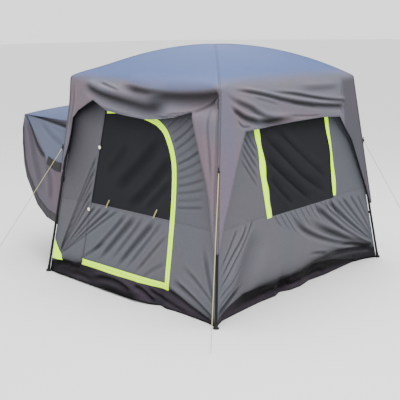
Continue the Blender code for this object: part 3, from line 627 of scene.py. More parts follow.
def zip_wrinkles():
    """Long folds that rise from the door's arch to the flap's inner edge, flatter towards the bottom."""
    folds = []
    edge = np.array(DOOR_EDGE[4:-1])
    flap = np.array(FLY_EDGE["front"][11:15])[::-1]
    count = 13
    for k in range(count):
        z = 1.605 - 0.06 * k
        u = np.interp(-z, -edge[:, 1], edge[:, 0]) + 0.01
        slope = mix(1.0, 0.15, ease(k / count))
        far = min(np.interp(z + 0.12, flap[:, 1], flap[:, 0]) + 0.03, u + 0.34)
        rise = slope * (far - u)
        folds.append(Fold([(u, z), (mix(u, far, 0.5), z + 0.42 * rise), (far, z + rise)],
                          0.01 + 0.002 * (k % 2), (0.0058 - 0.0012 * (k % 3)) * (1 - 0.5 * k / count),
                          0.08, 0.25, 0.015))
    return folds


def corner_fan():
    """Thin folds from the wall's lower left corner, bent a little downwards."""
    folds = []
    foot = np.array(FAN_FOOT)
    for k, end in enumerate(FAN_ENDS):
        span = np.array(end) - foot
        away = np.array([span[1], -span[0]]) * -0.01
        line = [foot + span * t + away * math.sin(math.pi * t) for t in (0.05, 0.35, 0.7, 1.0)]
        folds.append(Fold([tuple(p) for p in line], 0.007, 0.004 if k % 2 else 0.003, 0.1, 0.12, 0.015))
    return folds


WALL_FOLDS = {"front": FRONT_FOLDS + FRONT_CORNER_FOLDS + zip_wrinkles() + corner_fan(),
              "right": RIGHT_FOLDS + gathers(), "left": RIGHT_FOLDS[5:11] + RIGHT_FOLDS[-7:]}
WALL_FOLDS["back"] = WALL_FOLDS["right"]


def wall_cloth(side, more_folds=()):
    """A wall with its skirt. u is the distance along it and v the height."""
    own = across(side)
    turn = mirrored(side)
    hem, skirt, own_shade, turned, shadow, fly_edge = (
        np.array(table[side]) for table in (HEM_OUT, SKIRT_TOP, SKIRT_SHADE, PAINTED_SHADE_TOP, FLY_SHADOW, FLY_EDGE))

    def plain(u, v):
        q = np.abs(u) / wall_half(1 - own, v)
        along = u + np.sign(u) * corner_pull(1 - own, v) * q ** 8
        return on_side(side, turn * along, wall_half(own, v) + corner_pull(own, v) * q ** 5, v)

    def swell(u, v):
        return np.interp(u, hem[:, 0], hem[:, 1]) * ease(1 - v / 0.34)

    def half(v):
        return wall_half(1 - own, v)

    def held(u, v):
        along = ease((v - 0.11) / 0.05) * (v < HINGE_TOP[1] + 0.03)
        return 1 - along * (1 - ease(np.abs(u - hinge_u(v)) / 0.05))

    # Painted shade where the wall's foot turns under and on the skirt, and a painted shadow under the fly's
    # edge. Above the seam the upper panels are also a little darker.
    def dusk(u, v):
        on_wall = v > np.interp(u, skirt[:, 0], skirt[:, 1]) - 0.001
        above = v - np.interp(u, turned[:, 0], turned[:, 1])
        down = 1 - v / np.interp(u, skirt[:, 0], skirt[:, 1])
        upper_shade, hem_shade = (np.interp(u, own_shade[:, 0], own_shade[:, k]) for k in (1, 2))
        own_low = mix(upper_shade, hem_shade, ease((down - 0.45) / 0.35))
        low = np.where(on_wall, np.exp(-np.maximum(above, 0) / 0.03), own_low)
        depth = np.interp(u, shadow[:, 0], shadow[:, 1])
        reach = np.interp(u, shadow[:, 0], shadow[:, 2])
        under = depth * np.exp(-line_distance(u, v, fly_edge) / reach)
        upper = 0.09 * (v > DOOR_SEAM_Z) * (v < WALL_TOP_Z)
        return low + (1 - low) * (under + (1 - under) * upper)

    folds = WALL_FOLDS[side] + list(more_folds)
    return Cloth(plain, folds, half, swell, dusk=dusk, turn=turn, held=held if side == "front" else None)


def within(points, loops):
    """Which points lie inside the first loop and outside the others, by crossings."""
    x, y = points[:, 0], points[:, 1]
    odd = np.zeros(len(points), bool)
    for loop in loops:
        for (x0, y0), (x1, y1) in zip(loop, np.roll(loop, -1, axis=0)):
            spans = (y0 > y) != (y1 > y)
            if y0 != y1:
                odd ^= spans & (x < x0 + (y - y0) * (x1 - x0) / (y1 - y0))
    return odd


def point_distances(points, border):
    """Distances from each of the points to each point of a border."""
    return np.hypot(points[:, None, 0] - border[None, :, 0], points[:, None, 1] - border[None, :, 1])


def panel(loops, step):
    """Triangles over the inside of sampled loops. step is the spacing, or gives it at a height."""
    spacing = step if callable(step) else lambda v: step
    border = np.vstack(loops)
    edges = []
    start = 0
    for loop in loops:
        edges += [(start + k, start + (k + 1) % len(loop)) for k in range(len(loop))]
        start += len(loop)
    low, high = border.min(0), border.max(0)
    grid = []
    v, odd_row = low[1], False
    while v < high[1]:
        gap = spacing(v)
        row = np.arange(low[0] + (gap / 2 if odd_row else 0.0), high[0], gap)
        grid.append(np.stack([row, np.full(len(row), v)], axis=-1))
        v += gap * 0.866
        odd_row = not odd_row
    grid = np.vstack(grid)
    grid = grid[within(grid, loops)]
    kept = []
    for chunk in np.array_split(grid, max(1, len(grid) // 800)):
        gap = np.array([spacing(v) for v in chunk[:, 1]])
        kept.append(chunk[point_distances(chunk, border).min(1) > 0.55 * gap])
    points = np.vstack([border] + kept)
    result = delaunay_2d_cdt([Vector(p) for p in points], edges, [], 0, 1e-7, False)
    flat = np.array([(p.x, p.y) for p in result[0]])
    tris = np.array([f for f in result[2] if len(f) == 3])
    tris = tris[within(flat[tris].mean(1), loops)]
    return flat, tris


def closed_grid(top, under):
    """Vertices and faces of the closed body between two grids of points."""
    rows, columns = top.shape[:2]
    verts = np.vstack([top.reshape(-1, 3), under.reshape(-1, 3)])
    under_start = rows * columns
    faces = []
    for r in range(rows - 1):
        for c in range(columns - 1):
            a, b = r * columns + c, r * columns + c + 1
            d, e = a + columns, b + columns
            faces.append((a, b, e, d))
            faces.append((d + under_start, e + under_start, b + under_start, a + under_start))
    rim = list(range(columns)) + [r * columns + columns - 1 for r in range(1, rows)]
    rim += [(rows - 1) * columns + c for c in range(columns - 2, -1, -1)]
    rim += [r * columns for r in range(rows - 2, 0, -1)]
    for a, b in zip(rim, rim[1:] + rim[:1]):
        faces.append((b, a, a + under_start, b + under_start))
    return verts, faces


def set_attribute(mesh, name, values):
    mesh.attributes.new(name, "FLOAT", "POINT").data.foreach_set("value", np.asarray(values, np.float32))


def add_mesh(name, verts, faces, material, body="tent", slot=None, replaces=(), shade=None, smooth=True):
    """A piece that rides on a body. shade is painted shade that darkens its cloth in the hollows, and where
    negative a painted highlight.
    """
    mesh = bpy.data.meshes.new(name)
    mesh.from_pydata([tuple(v) for v in verts], [], [tuple(int(i) for i in f) for f in faces])
    mesh.update()
    if shade is not None:
        set_attribute(mesh, "shade", shade)
    mesh.polygons.foreach_set("use_smooth", [smooth] * len(mesh.polygons))
    mesh.materials.append(material)
    piece = bpy.data.objects.new(name, mesh)
    bpy.context.scene.collection.objects.link(piece)
    if body:
        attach(piece, body)
    if replaces:
        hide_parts(*replaces)
    return piece


def thicken(piece, thickness=CLOTH):
    solid = piece.modifiers.new("thickness", "SOLIDIFY")
    solid.thickness = thickness
    solid.offset = -1.0
    return piece


def cloth_arrays(cloth, loops, step, lift=0.0):
    """Points, triangles and shade of a cloth over the loops, lifted off its plain place."""
    flat, tris = panel(loops, step)
    verts, shade = cloth.place(*flat.T, lift)
    if cloth.turn < 0:
        tris = tris[:, ::-1]
    return verts, tris, shade


def sheet_piece(name, cloth, loops, step, material, flat, lift=0.0, **more):
    """A thin cloth over the loops. flat, its flat size, is not used."""
    verts, tris, shade = cloth_arrays(cloth, loops, step, lift)
    piece = thicken(add_mesh(name, verts, tris, material, shade=shade, **more))
    return piece


def side_normals(path):
    """Mitred sideways directions of an open line."""
    d = np.diff(path, axis=0)
    d /= np.linalg.norm(d, axis=1, keepdims=True)
    n = np.stack([-d[:, 1], d[:, 0]], axis=-1)
    before, after = np.vstack([n[:1], n]), np.vstack([n, n[-1:]])
    total = before + after
    return total * 2 / (total ** 2).sum(1, keepdims=True)


def offset_line(path, distance):
    path = np.array(path, float)
    return path + side_normals(path) * distance


def ribbon_arrays(cloth, path, left, right, lift, crown=0.0, thickness=CLOTH, columns=5):
    """A closed strip on a cloth. left and right are its edges' distances from the path."""
    path = np.array(path, float)
    n = side_normals(path)
    left, right = np.broadcast_to(left, len(path)), np.broadcast_to(right, len(path))
    top, under, shades = [], [], []
    for k in range(columns):
        t = k / (columns - 1)
        q = path + n * mix(left, right, t)[:, None]
        rise = lift + crown * (1 - (2 * t - 1) ** 2)
        high, shade = cloth.place(*q.T, rise)
        top.append(high)
        under.append(cloth.place(*q.T, rise - thickness)[0])
        shades.append(shade)
    verts, faces = closed_grid(np.stack(top, 1), np.stack(under, 1))
    shade = np.tile(np.stack(shades, 1).reshape(-1), 2)
    if cloth.turn > 0:
        faces = [f[::-1] for f in faces]
    return verts, faces, shade


def ribbon(name, cloth, path, left, right, lift, material, crown=0.0, thickness=CLOTH, columns=5, fade=1.0,
           **more):
    """A strip as a piece of its own. fade scales its shade."""
    verts, faces, shade = ribbon_arrays(cloth, path, left, right, lift, crown, thickness, columns)
    return add_mesh(name, verts, faces, material, shade=shade * fade, **more)


def joined(parts):
    """One set of arrays from several (verts, faces, shade)."""
    verts, faces, shades, start = [], [], [], 0
    for v, f, s in parts:
        verts.append(np.asarray(v))
        faces += [tuple(int(i) + start for i in face) for face in f]
        shades.append(np.zeros(len(v)) if s is None else s)
        start += len(v)
    return np.vstack(verts), faces, np.concatenate(shades)


def add_parts(name, parts, material, fade=1.0, **more):
    """Several bodies, as (verts, faces, shade), as one piece."""
    verts, faces, shade = joined(parts)
    return add_mesh(name, verts, faces, material, shade=shade * fade, **more)


def tube_arrays(points, radius, sides=12):
    """A round tube along world points, closed at its ends. radius may change from point to point."""
    p = np.array(points, float)
    radius = np.broadcast_to(radius, len(p))
    d = np.gradient(p, axis=0)
    d /= np.linalg.norm(d, axis=1, keepdims=True)
    guide = np.array([0.0, 0.0, 1.0]) if abs(d[0, 2]) < 0.9 else np.array([1.0, 0.0, 0.0])
    verts, faces = [], []
    for k in range(len(p)):
        a = guide - d[k] * (guide @ d[k])
        a /= np.linalg.norm(a)
        guide = a
        b = np.cross(d[k], a)
        for j in range(sides):
            angle = 2 * math.pi * j / sides
            verts.append(p[k] + (a * math.cos(angle) + b * math.sin(angle)) * radius[k])
    for k in range(len(p) - 1):
        for j in range(sides):
            i = (j + 1) % sides
            faces.append((k * sides + j, k * sides + i, (k + 1) * sides + i, (k + 1) * sides + j))
    faces.append(tuple(range(sides - 1, -1, -1)))
    faces.append(tuple((len(p) - 1) * sides + j for j in range(sides)))
    return np.array(verts), faces, None


def ball_arrays(centre, radius, rows=8, columns=12):
    """A ball. radius is a number, or one for each axis."""
    verts, faces = [], []
    for r in range(1, rows):
        for c in range(columns):
            polar, turn = math.pi * r / rows, 2 * math.pi * c / columns
            ring = math.sin(polar)
            verts.append((ring * math.cos(turn), ring * math.sin(turn), math.cos(polar)))
    verts += [(0, 0, 1), (0, 0, -1)]
    top, bottom = len(verts) - 2, len(verts) - 1
    for c in range(columns):
        d = (c + 1) % columns
        faces.append((top, c, d))
        faces.append((bottom, (rows - 2) * columns + d, (rows - 2) * columns + c))
        for r in range(rows - 2):
            faces.append((r * columns + c, (r + 1) * columns + c, (r + 1) * columns + d, r * columns + d))
    return np.array(verts) * np.broadcast_to(radius, 3) + np.array(centre), faces, None


# Materials

def set_input(material, socket, value):
    """Links a socket to an input, or gives the input a number or a colour."""
    if isinstance(value, bpy.types.NodeSocket):
        material.node_tree.links.new(value, socket)
    else:
        socket.default_value = (*value, 1.0) if isinstance(value, tuple) else value


def set_shader(material, **inputs):
    for key, value in inputs.items():
        shader = material.node_tree.nodes["Principled BSDF"]
        set_input(material, shader.inputs[key.replace("_", " ")], value)


def new_material(name, colour, roughness, metallic=0.0, specular=0.5):
    material = bpy.data.materials.new(name)
    material.use_nodes = True
    set_shader(material, Base_Color=colour, Roughness=roughness, Metallic=metallic,
               Specular_IOR_Level=specular)
    return material


def add_node(material, kind, **inputs):
    item = material.node_tree.nodes.new(kind)
    for key, value in inputs.items():
        set_input(material, item.inputs[key.replace("_", " ")], value)
    return item


def math_node(material, operation, a, b=0.0):
    item = add_node(material, "ShaderNodeMath")
    item.operation = operation
    set_input(material, item.inputs[0], a)
    set_input(material, item.inputs[1], b)
    return item.outputs[0]


def mix_colour(material, factor, a, b, blend="MIX"):
    item = add_node(material, "ShaderNodeMix")
    item.data_type = "RGBA"
    item.blend_type = blend
    for socket, value in ((item.inputs["Factor"], factor), (item.inputs[6], a), (item.inputs[7], b)):
        set_input(material, socket, value)
    return item.outputs[2]


def ramp(material, value, start, end, low=0.0, high=1.0):
    """Runs from low to high while the value runs from start to end."""
    item = add_node(material, "ShaderNodeMapRange", Value=value, From_Min=start, From_Max=end, To_Min=low,
                    To_Max=high)
    return item.outputs[0]


def attribute(material, name):
    item = add_node(material, "ShaderNodeAttribute")
    item.attribute_name = name
    return item.outputs["Fac"]


def object_coordinates(material):
    return add_node(material, "ShaderNodeTexCoord").outputs["Object"]


def noise_value(material, vector, scale, detail=3.0):
    return add_node(material, "ShaderNodeTexNoise", Vector=vector, Scale=scale, Detail=detail).outputs["Fac"]


def weave_height(material, vector, threads):
    """Threads over and under in two directions, as a height from 0 to 1."""
    split = add_node(material, "ShaderNodeSeparateXYZ", Vector=vector).outputs
    levels = math_node(material, "ADD", split["X"], split["Y"]), split["Z"]
    one, two = (math_node(material, "SINE", math_node(material, "MULTIPLY", level, threads * 2 * math.pi))
                for level in levels)
    return math_node(material, "MULTIPLY", one, two)


def bump(material, *layers):
    """Chained bump nodes from (height socket, distance) layers, linked to the shader's normal."""
    normal = None
    for height, distance in layers:
        item = add_node(material, "ShaderNodeBump", Height=height, Strength=1.0, Distance=distance)
        if normal:
            set_input(material, item.inputs["Normal"], normal)
        normal = item.outputs["Normal"]
    set_shader(material, Normal=normal)


def shaded(material, colour, dark, strength):
    """Paints shade into a colour in the folds' hollows and a highlight on their crests, by the shade
    attribute.
    """
    shade = attribute(material, "shade")
    lit = mix_colour(material, 1.0, colour, ramp(material, shade, -0.6, 0.0, 1.6, 1.0), "MULTIPLY")
    return mix_colour(material, ramp(material, shade, 0.0, 1.0, 0.0, strength), lit, dark)


def uneven_roughness(material, spots, roughness, spread):
    set_shader(material, Roughness=ramp(material, spots, 0.0, 1.0, roughness - spread, roughness + spread))


def sky_reflection_share(material, where, high, lean, above):
    """Share of a cloth's cooler tone, a painted sky reflection, by its height or by its own tone attribute.
    """
    if high is None:
        return attribute(material, "tone")
    place = add_node(material, "ShaderNodeSeparateXYZ", Vector=where).outputs
    level = math_node(material, "ADD", place["Z"], math_node(material, "MULTIPLY", place["X"], lean))
    share = ramp(material, level, *high)
    if above:
        share = math_node(material, "MULTIPLY", share, ramp(material, place["Z"], *above))
    return share


def fabric(name, side, warm, dark, top=None, high=(1.9, 2.02), lean=0.0, above=None, roughness=0.55,
           specular=0.12):
    """Coated cloth with warmer patches, and a cooler tone on top that comes in between two heights.

    lean tilts these heights along X, and above keeps the cooler tone over another two. Without heights the
    cloth's own tone attribute gives its share. The cooler tone is a painted sky reflection, and dark is the
    painted shade in the hollows.
    """
    material = new_material(name, side, roughness, specular=specular)
    where = object_coordinates(material)
    patches = noise_value(material, where, 1.7, 2.0)
    colour = mix_colour(material, ramp(material, patches, 0.4, 0.64), side, warm)
    if top:
        colour = mix_colour(material, sky_reflection_share(material, where, high, lean, above), colour, top)
    fine = noise_value(material, where, 60.0, 4.0)
    colour = mix_colour(material, 1.0, colour, ramp(material, fine, 0.3, 0.7, 0.93, 1.06), "MULTIPLY")
    # The dark colour is painted shade in the folds' hollows, and their crests get a painted highlight
    set_shader(material, Base_Color=shaded(material, colour, dark, 0.98))
    uneven_roughness(material, fine, roughness, 0.07)
    crumple = noise_value(material, where, 9.0)
    bump(material, (crumple, 0.0025), (weave_height(material, where, 420.0), 0.00012))
    return material


def net(name, colour, light):
    """Fine dark mesh: a grid of threads too small to see through from outside."""
    material = new_material(name, colour, 0.7, specular=0.05)
    where = object_coordinates(material)
    tone = mix_colour(material, noise_value(material, where, 3.0), colour, light)
    # Painted shade in the net's folds and a painted highlight on their crests
    set_shader(material, Base_Color=shaded(material, tone, (0.004, 0.004, 0.005), 0.7))
    crumple = noise_value(material, where, 7.0)
    bump(material, (crumple, 0.003), (weave_height(material, where, 500.0), 0.0003))
    return material


def tape(name, colour, light, glow=0.0):
    """Woven tape with painted shade in its folds. glow is painted light: the tape gives off some light of its
    own.
    """
    material = new_material(name, colour, 0.6, specular=0.1)
    where = object_coordinates(material)
    tone = mix_colour(material, noise_value(material, where, 25.0, 4.0), colour, light)
    # Painted shade in the tape's folds, and a painted glow by emission
    set_shader(material, Base_Color=shaded(material, tone, (0.2, 0.28, 0.03), 0.5), Emission_Color=colour,
               Emission_Strength=glow)
    bump(material, (weave_height(material, where, 300.0), 0.0003))
    return material


def hard(name, colour, roughness, metallic=0.0, specular=0.5):
    """Painted metal or moulded plastic, with slight unevenness."""
    material = new_material(name, colour, roughness, metallic, specular)
    spots = noise_value(material, object_coordinates(material), 90.0, 4.0)
    set_shader(material, Base_Color=mix_colour(material, spots, colour, tuple(c * 1.5 for c in colour)))
    uneven_roughness(material, spots, roughness, 0.08)
    bump(material, (spots, 0.0002))
    return material


def braid(name, colour, light):
    """Twisted strands of a thin line."""
    material = new_material(name, colour, 0.7, specular=0.1)
    split = add_node(material, "ShaderNodeSeparateXYZ", Vector=object_coordinates(material)).outputs
    turns = math_node(material, "MULTIPLY", math_node(material, "ADD", split["Z"], split["X"]), 1500.0)
    strands = math_node(material, "SINE", turns)
    share = math_node(material, "ABSOLUTE", strands)
    set_shader(material, Base_Color=mix_colour(material, share, colour, light))
    bump(material, (strands, 0.0003))
    return material


# The fly's cooler top colour is a painted sky reflection
FLY = fabric("fly_cloth", (0.105, 0.104, 0.13), (0.134, 0.1, 0.122), (0.009, 0.009, 0.009),
             (0.055, 0.083, 0.192), high=None)
# The sleeve's roof cloth is a bluer copy of its side cloth, and the cooler tops of roof and sides are a
# painted sky reflection
SLEEVE_ROOF = fabric("sleeve_roof_cloth", (0.048, 0.058, 0.1), (0.06, 0.061, 0.092),
                     (0.01, 0.01, 0.012), (0.05, 0.071, 0.148), high=(1.49, 1.53))
SLEEVE = fabric("sleeve_cloth", (0.082, 0.074, 0.094), (0.1, 0.074, 0.098), (0.01, 0.01, 0.012),
                (0.1, 0.116, 0.17), high=(-0.4, -0.34), lean=0.98, above=(1.04, 1.12))
SLEEVE_EAVE = fabric("sleeve_eave_cloth", (0.07, 0.064, 0.08), (0.086, 0.07, 0.086),
                     (0.01, 0.01, 0.012))
WALL = fabric("wall_cloth", (0.082, 0.087, 0.102), (0.09, 0.086, 0.1), (0.008, 0.008, 0.01))
# The skirt's dark colour is partly its own and partly painted shade where it turns under
SKIRT = fabric("skirt_cloth", (0.026, 0.022, 0.03), (0.038, 0.029, 0.04), (0.0006, 0.0006, 0.0008),
               roughness=0.5, specular=0.05)
FLOOR = fabric("floor_cloth", (0.03, 0.03, 0.034), (0.035, 0.032, 0.036), (0.01, 0.01, 0.01))
NET = net("net", (0.014, 0.0143, 0.0168), (0.02, 0.0205, 0.0235))
# The zip tapes' glow is painted light
ZIP = tape("zip_tape", (0.52, 0.92, 0.0), (0.6, 0.96, 0.0), 0.9)
COIL = tape("zip_coil", (0.46, 0.7, 0.0), (0.52, 0.78, 0.0), 0.6)
BINDING = fabric("dark_binding", (0.004, 0.004, 0.005), (0.006, 0.005, 0.006), (0.002, 0.002, 0.002),
                 specular=0.05)
# The corner piping's cooler colour on the roof is a painted sky reflection
PIPING = fabric("corner_piping", (0.06, 0.06, 0.075), (0.065, 0.058, 0.07), (0.01, 0.01, 0.012),
                (0.045, 0.065, 0.14))
HEM_SHADE_CLOTH = fabric("hem_shade_cloth", (0.028, 0.027, 0.032), (0.034, 0.03, 0.036), (0.008, 0.008, 0.009))
SEAM = fabric("seam_cloth", (0.085, 0.083, 0.105), (0.095, 0.084, 0.1), (0.012, 0.012, 0.014))
TUBE = hard("black_tube", (0.006, 0.006, 0.007), 0.5, specular=0.15)
PLASTIC = hard("black_plastic", (0.008, 0.008, 0.009), 0.55, specular=0.2)
STEEL = hard("steel", (0.55, 0.55, 0.56), 0.3, 1.0)
LINE = braid("guy_line", (0.42, 0.36, 0.16), (0.56, 0.5, 0.27))
CREAM = hard("cream_plastic", (0.72, 0.69, 0.52), 0.4)
WEBBING = tape("black_webbing", (0.02, 0.02, 0.022), (0.035, 0.033, 0.036))


# Fly

def fly_outline(side):
    """Sampled outline of one side of the fly with its gore, from the left tip round to the right tip."""
    edge = FLY_EDGE[side]

    def seam(tip, sign):
        levels = np.concatenate([np.linspace(tip, EAVE_Z, math.ceil((EAVE_Z - tip) / FINE)),
                                 EAVE_Z + np.linspace(0, 1, 41)[1:]])
        return np.stack([sign * fly_half(1 - across(side), levels - EAVE_Z), levels], axis=-1)

    lower = resample(edge, FINE)[1:-1]
    left, right = seam(edge[0][1], -1), seam(edge[-1][1], 1)
    return np.vstack([left, right[:-1][::-1], lower[::-1]])


def fly_step(v):
    return FINE if v < EAVE_Z + 0.1 else PLAIN


def make_fly():
    parts = [cloth_arrays(fly_cloth(side), [fly_outline(side)], fly_step) for side in SIDES]
    verts, faces, shade = weld(*joined(parts))
    nodes = ["fly_roof_" + side for side in SIDES] + ["fly_side_" + side for side in SIDES]
    canopy = thicken(add_mesh("fly_canopy", verts, faces, FLY, slot="fly", replaces=nodes, shade=shade))
    # The tone attribute carries the painted sky reflection on the roof
    set_attribute(canopy.data, "tone", roof_sky_reflection(verts))
    for side in SIDES:
        make_fly_trim(side)


def roof_sky_reflection(verts):
    """Share of the cooler roof tone, a painted sky reflection, at points of the fly."""
    x, y, z = verts.T
    line = np.array(ROOF_SKY_REFLECTION)
    facing = np.abs(y) / EAVE[1] > np.abs(x) / EAVE[0]
    start = np.where(facing, np.interp(x, line[:, 0], line[:, 1]), ROOF_SKY_REFLECTION[0][1])
    reach = np.where(facing, np.interp(x, line[:, 0], line[:, 2]), ROOF_SKY_REFLECTION[0][2])
    high = mix(0.45, 1.0, ease((z - 1.88) / 0.14))
    near_flap = 0.2 * ease((-y - 0.8) / 0.15) * ~facing
    return np.maximum(ease((z - start) / reach) * high, near_flap)


def weld(verts, faces, shade):
    """Joins points that lie within a tenth of a millimetre of each other."""
    keys, order, index = {}, [], np.zeros(len(verts), int)
    for i, key in enumerate(map(tuple, np.round(verts, 4))):
        if key not in keys:
            keys[key] = len(order)
            order.append(i)
        index[i] = keys[key]
    moved = [tuple(index[list(f)]) for f in faces]
    moved = [f for f in moved if len(set(f)) == len(f)]
    return verts[order], moved, shade[order]


def make_fly_trim(side):
    """A turned hem along the lower edge, and one half of the flat seam down each corner."""
    cloth = fly_cloth(side)
    edge = resample(FLY_EDGE[side], FINE)
    ribbon("fly_hem_" + side, cloth, edge, *FLY_HEM, SEAM_LIFT, SEAM, slot="fly")
    parts = []
    below = 60
    for sign, tip in ((-1, edge[0][1]), (1, edge[-1][1])):
        levels = np.concatenate([np.linspace(tip + 0.004, EAVE_Z, below),
                                 EAVE_Z + np.linspace(0, 0.985, 50)[1:]])
        half = fly_half(1 - across(side), levels - EAVE_Z) - CORNER_SEAM_HALF
        path = np.stack([sign * half, levels], axis=-1)
        near, far = (sign * edge_at for edge_at in CORNER_SEAM_ROW)
        parts.append(ribbon_arrays(cloth, path, 0.0, sign * CORNER_SEAM_HALF, SEAM_LIFT, columns=3))
        parts.append(ribbon_arrays(cloth, path[:below], near, far, SEAM_LIFT, columns=3))
    add_parts("fly_corner_seam_" + side, parts, PIPING, 0.3, slot="fly")


# Walls

def door_line():
    """The bright band's outer edge: arch and free side as a curve, then the corner and the straight foot."""
    return np.vstack([smooth_line(DOOR_EDGE, 8), [DOOR_FOOT]])


def hinge_u(z):
    return mix(HINGE_BOTTOM[0], HINGE_TOP[0], (z - HINGE_BOTTOM[1]) / (HINGE_TOP[1] - HINGE_BOTTOM[1]))


def meet_hinge(line, shift):
    """Runs both ends of a line inside the door to the hinge line, moved by shift."""
    line = np.array(line)
    slope = (HINGE_TOP[0] - HINGE_BOTTOM[0]) / (HINGE_TOP[1] - HINGE_BOTTOM[1])
    for end, beside in ((0, 1), (-1, -2)):
        d = line[beside] - line[end]
        t = (hinge_u(line[end][1]) + shift - line[end][0]) / (d[0] - slope * d[1])
        line[end] = line[end] + d * t
    return line


def wall_outline(side):
    """Outline of a wall above its skirt."""
    lower = resample(SKIRT_TOP[side], FINE)
    sides = []
    for sign, start in ((1, lower[-1][1]), (-1, lower[0][1])):
        levels = np.linspace(start, WALL_TOP_Z, 90)
        sides.append(np.stack([sign * wall_half(1 - across(side), levels), levels], axis=-1))
    lower[0] = sides[1][0]
    lower[-1] = sides[0][0]
    top = resample([sides[0][-1], sides[1][-1]], PLAIN)
    return np.vstack([lower[:-1], sides[0][:-1], top[:-1], sides[1][::-1][:-1]])


def make_walls():
    for side in SIDES:
        cloth = wall_cloth(side)
        nodes = [side + "_wall"]
        hole, step = WINDOW, FINE
        if side == "front":
            nodes = ["front_wall_left", "front_wall_top", "front_wall_right"]
            hole = meet_hinge(offset_line(door_line(), -HOLE_INSET), -0.004)
        elif side == "left":
            hole = [(LEFT_DOORWAY[0][0], DOORWAY_SILL), *LEFT_DOORWAY, (LEFT_DOORWAY[-1][0], DOORWAY_SILL)]
            step = PLAIN
        wide = 2 * WALL_BASE[1 - across(side)]
        loops = [wall_outline(side), resample(hole, step, closed=True)]
        sheet_piece(side + "_wall_cloth", cloth, loops, FINE, WALL, (wide, 1.95), slot="wall", replaces=nodes)
        make_skirt(side, cloth)


def make_wall_seams():
    """Flat seams beside the door and the windows, where the lower panels join the upper ones."""
    for side, spans in WALL_SEAMS.items():
        cloth = wall_cloth(side)
        lines = [level_line(*span, DOOR_SEAM_Z, 50) for span in spans]
        parts = [ribbon_arrays(cloth, line, 0.004, -0.004, SEAM_LIFT, columns=3) for line in lines]
        add_parts("wall_seam_" + side, parts, WALL, slot="wall")


def make_skirt(side, cloth):
    """The band of floor cloth that turns up at the foot of a wall, dark partly in its own colour and partly
    by painted shade, with a black piped hem.
    """
    other = 1 - across(side)
    upper = resample(SKIRT_TOP[side], FINE)
    upper[:, 1] += SKIRT_LAP
    upper[0, 0], upper[-1, 0] = -wall_half(other, upper[0, 1]), wall_half(other, upper[-1, 1])
    corner = wall_half(other, HEM_LEVEL)
    foot = resample([(-corner, HEM_LEVEL), (corner, HEM_LEVEL)], FINE)
    loop = np.vstack([foot, upper[::-1]])
    wide = 2 * WALL_BASE[other]
    sheet_piece("skirt_cloth_" + side, cloth, [loop], FINE, SKIRT, (wide, 0.25), lift=-0.0016,
                slot="skirt", replaces=["skirt_" + side])
    ribbon("hem_piping_" + side, cloth, foot, 0.0, 0.01, 0.002, BINDING, crown=0.0015, slot="skirt")


def make_floor():
    """The floor's outline follows the hem of the walls, and turns up to it."""
    outline = []
    for side in SIDES:
        cloth = wall_cloth(side)
        corner = wall_half(1 - across(side), HEM_LEVEL)
        along = np.linspace(-corner, corner, 90)[:-1] * cloth.turn
        outline.append(cloth.place(along, np.full(len(along), HEM_LEVEL), -0.004)[0])
    border = np.vstack(outline)
    flat, tris = panel([border[:, :2]], FLOOR_STEP)
    away = point_distances(flat, border)
    turned_up = (border[away.argmin(1), 2] - 0.002) * ease(1 - away.min(1) / FLOOR_TURN_UP)
    level = np.column_stack([flat, np.zeros(len(flat))])
    lift = ripple(level, 2.3, FLOOR_ROUGH) + FLOOR_LIFT
    verts = np.column_stack([flat, lift + turned_up])
    floor = thicken(add_mesh("floor_sheet", verts, tris, FLOOR, slot="floor", replaces=["floor"]))


def make_windows():
    """A net a little wider than each window's hole, and the bright strips at its sides."""
    hole = np.array(WINDOW)
    middle = (hole.min(0) + hole.max(0)) / 2
    loop = resample(middle + (hole - middle) * 1.03, FINE, closed=True)
    for side in ("right", "back"):
        cloth = wall_cloth(side, WINDOW_NET_FOLDS)
        sheet_piece("window_net_" + side, cloth, [loop], FINE, NET, (1.1, 0.9),
                    lift=-0.004, slot="mesh", replaces=[side + "_window_mesh"])
        for name, strip in (("near", STRIP_NEAR), ("far", STRIP_FAR)):
            z, outer, inner = smooth_line(strip).T
            half = (inner - outer) / 2
            path = np.stack([(outer + inner) / 2, z], axis=-1)
            ribbon("window_zip_%s_%s" % (side, name), cloth, path, half, -half, 0.004, ZIP, crown=0.004,
                   columns=7, fade=0.3, slot="zip")


# Door

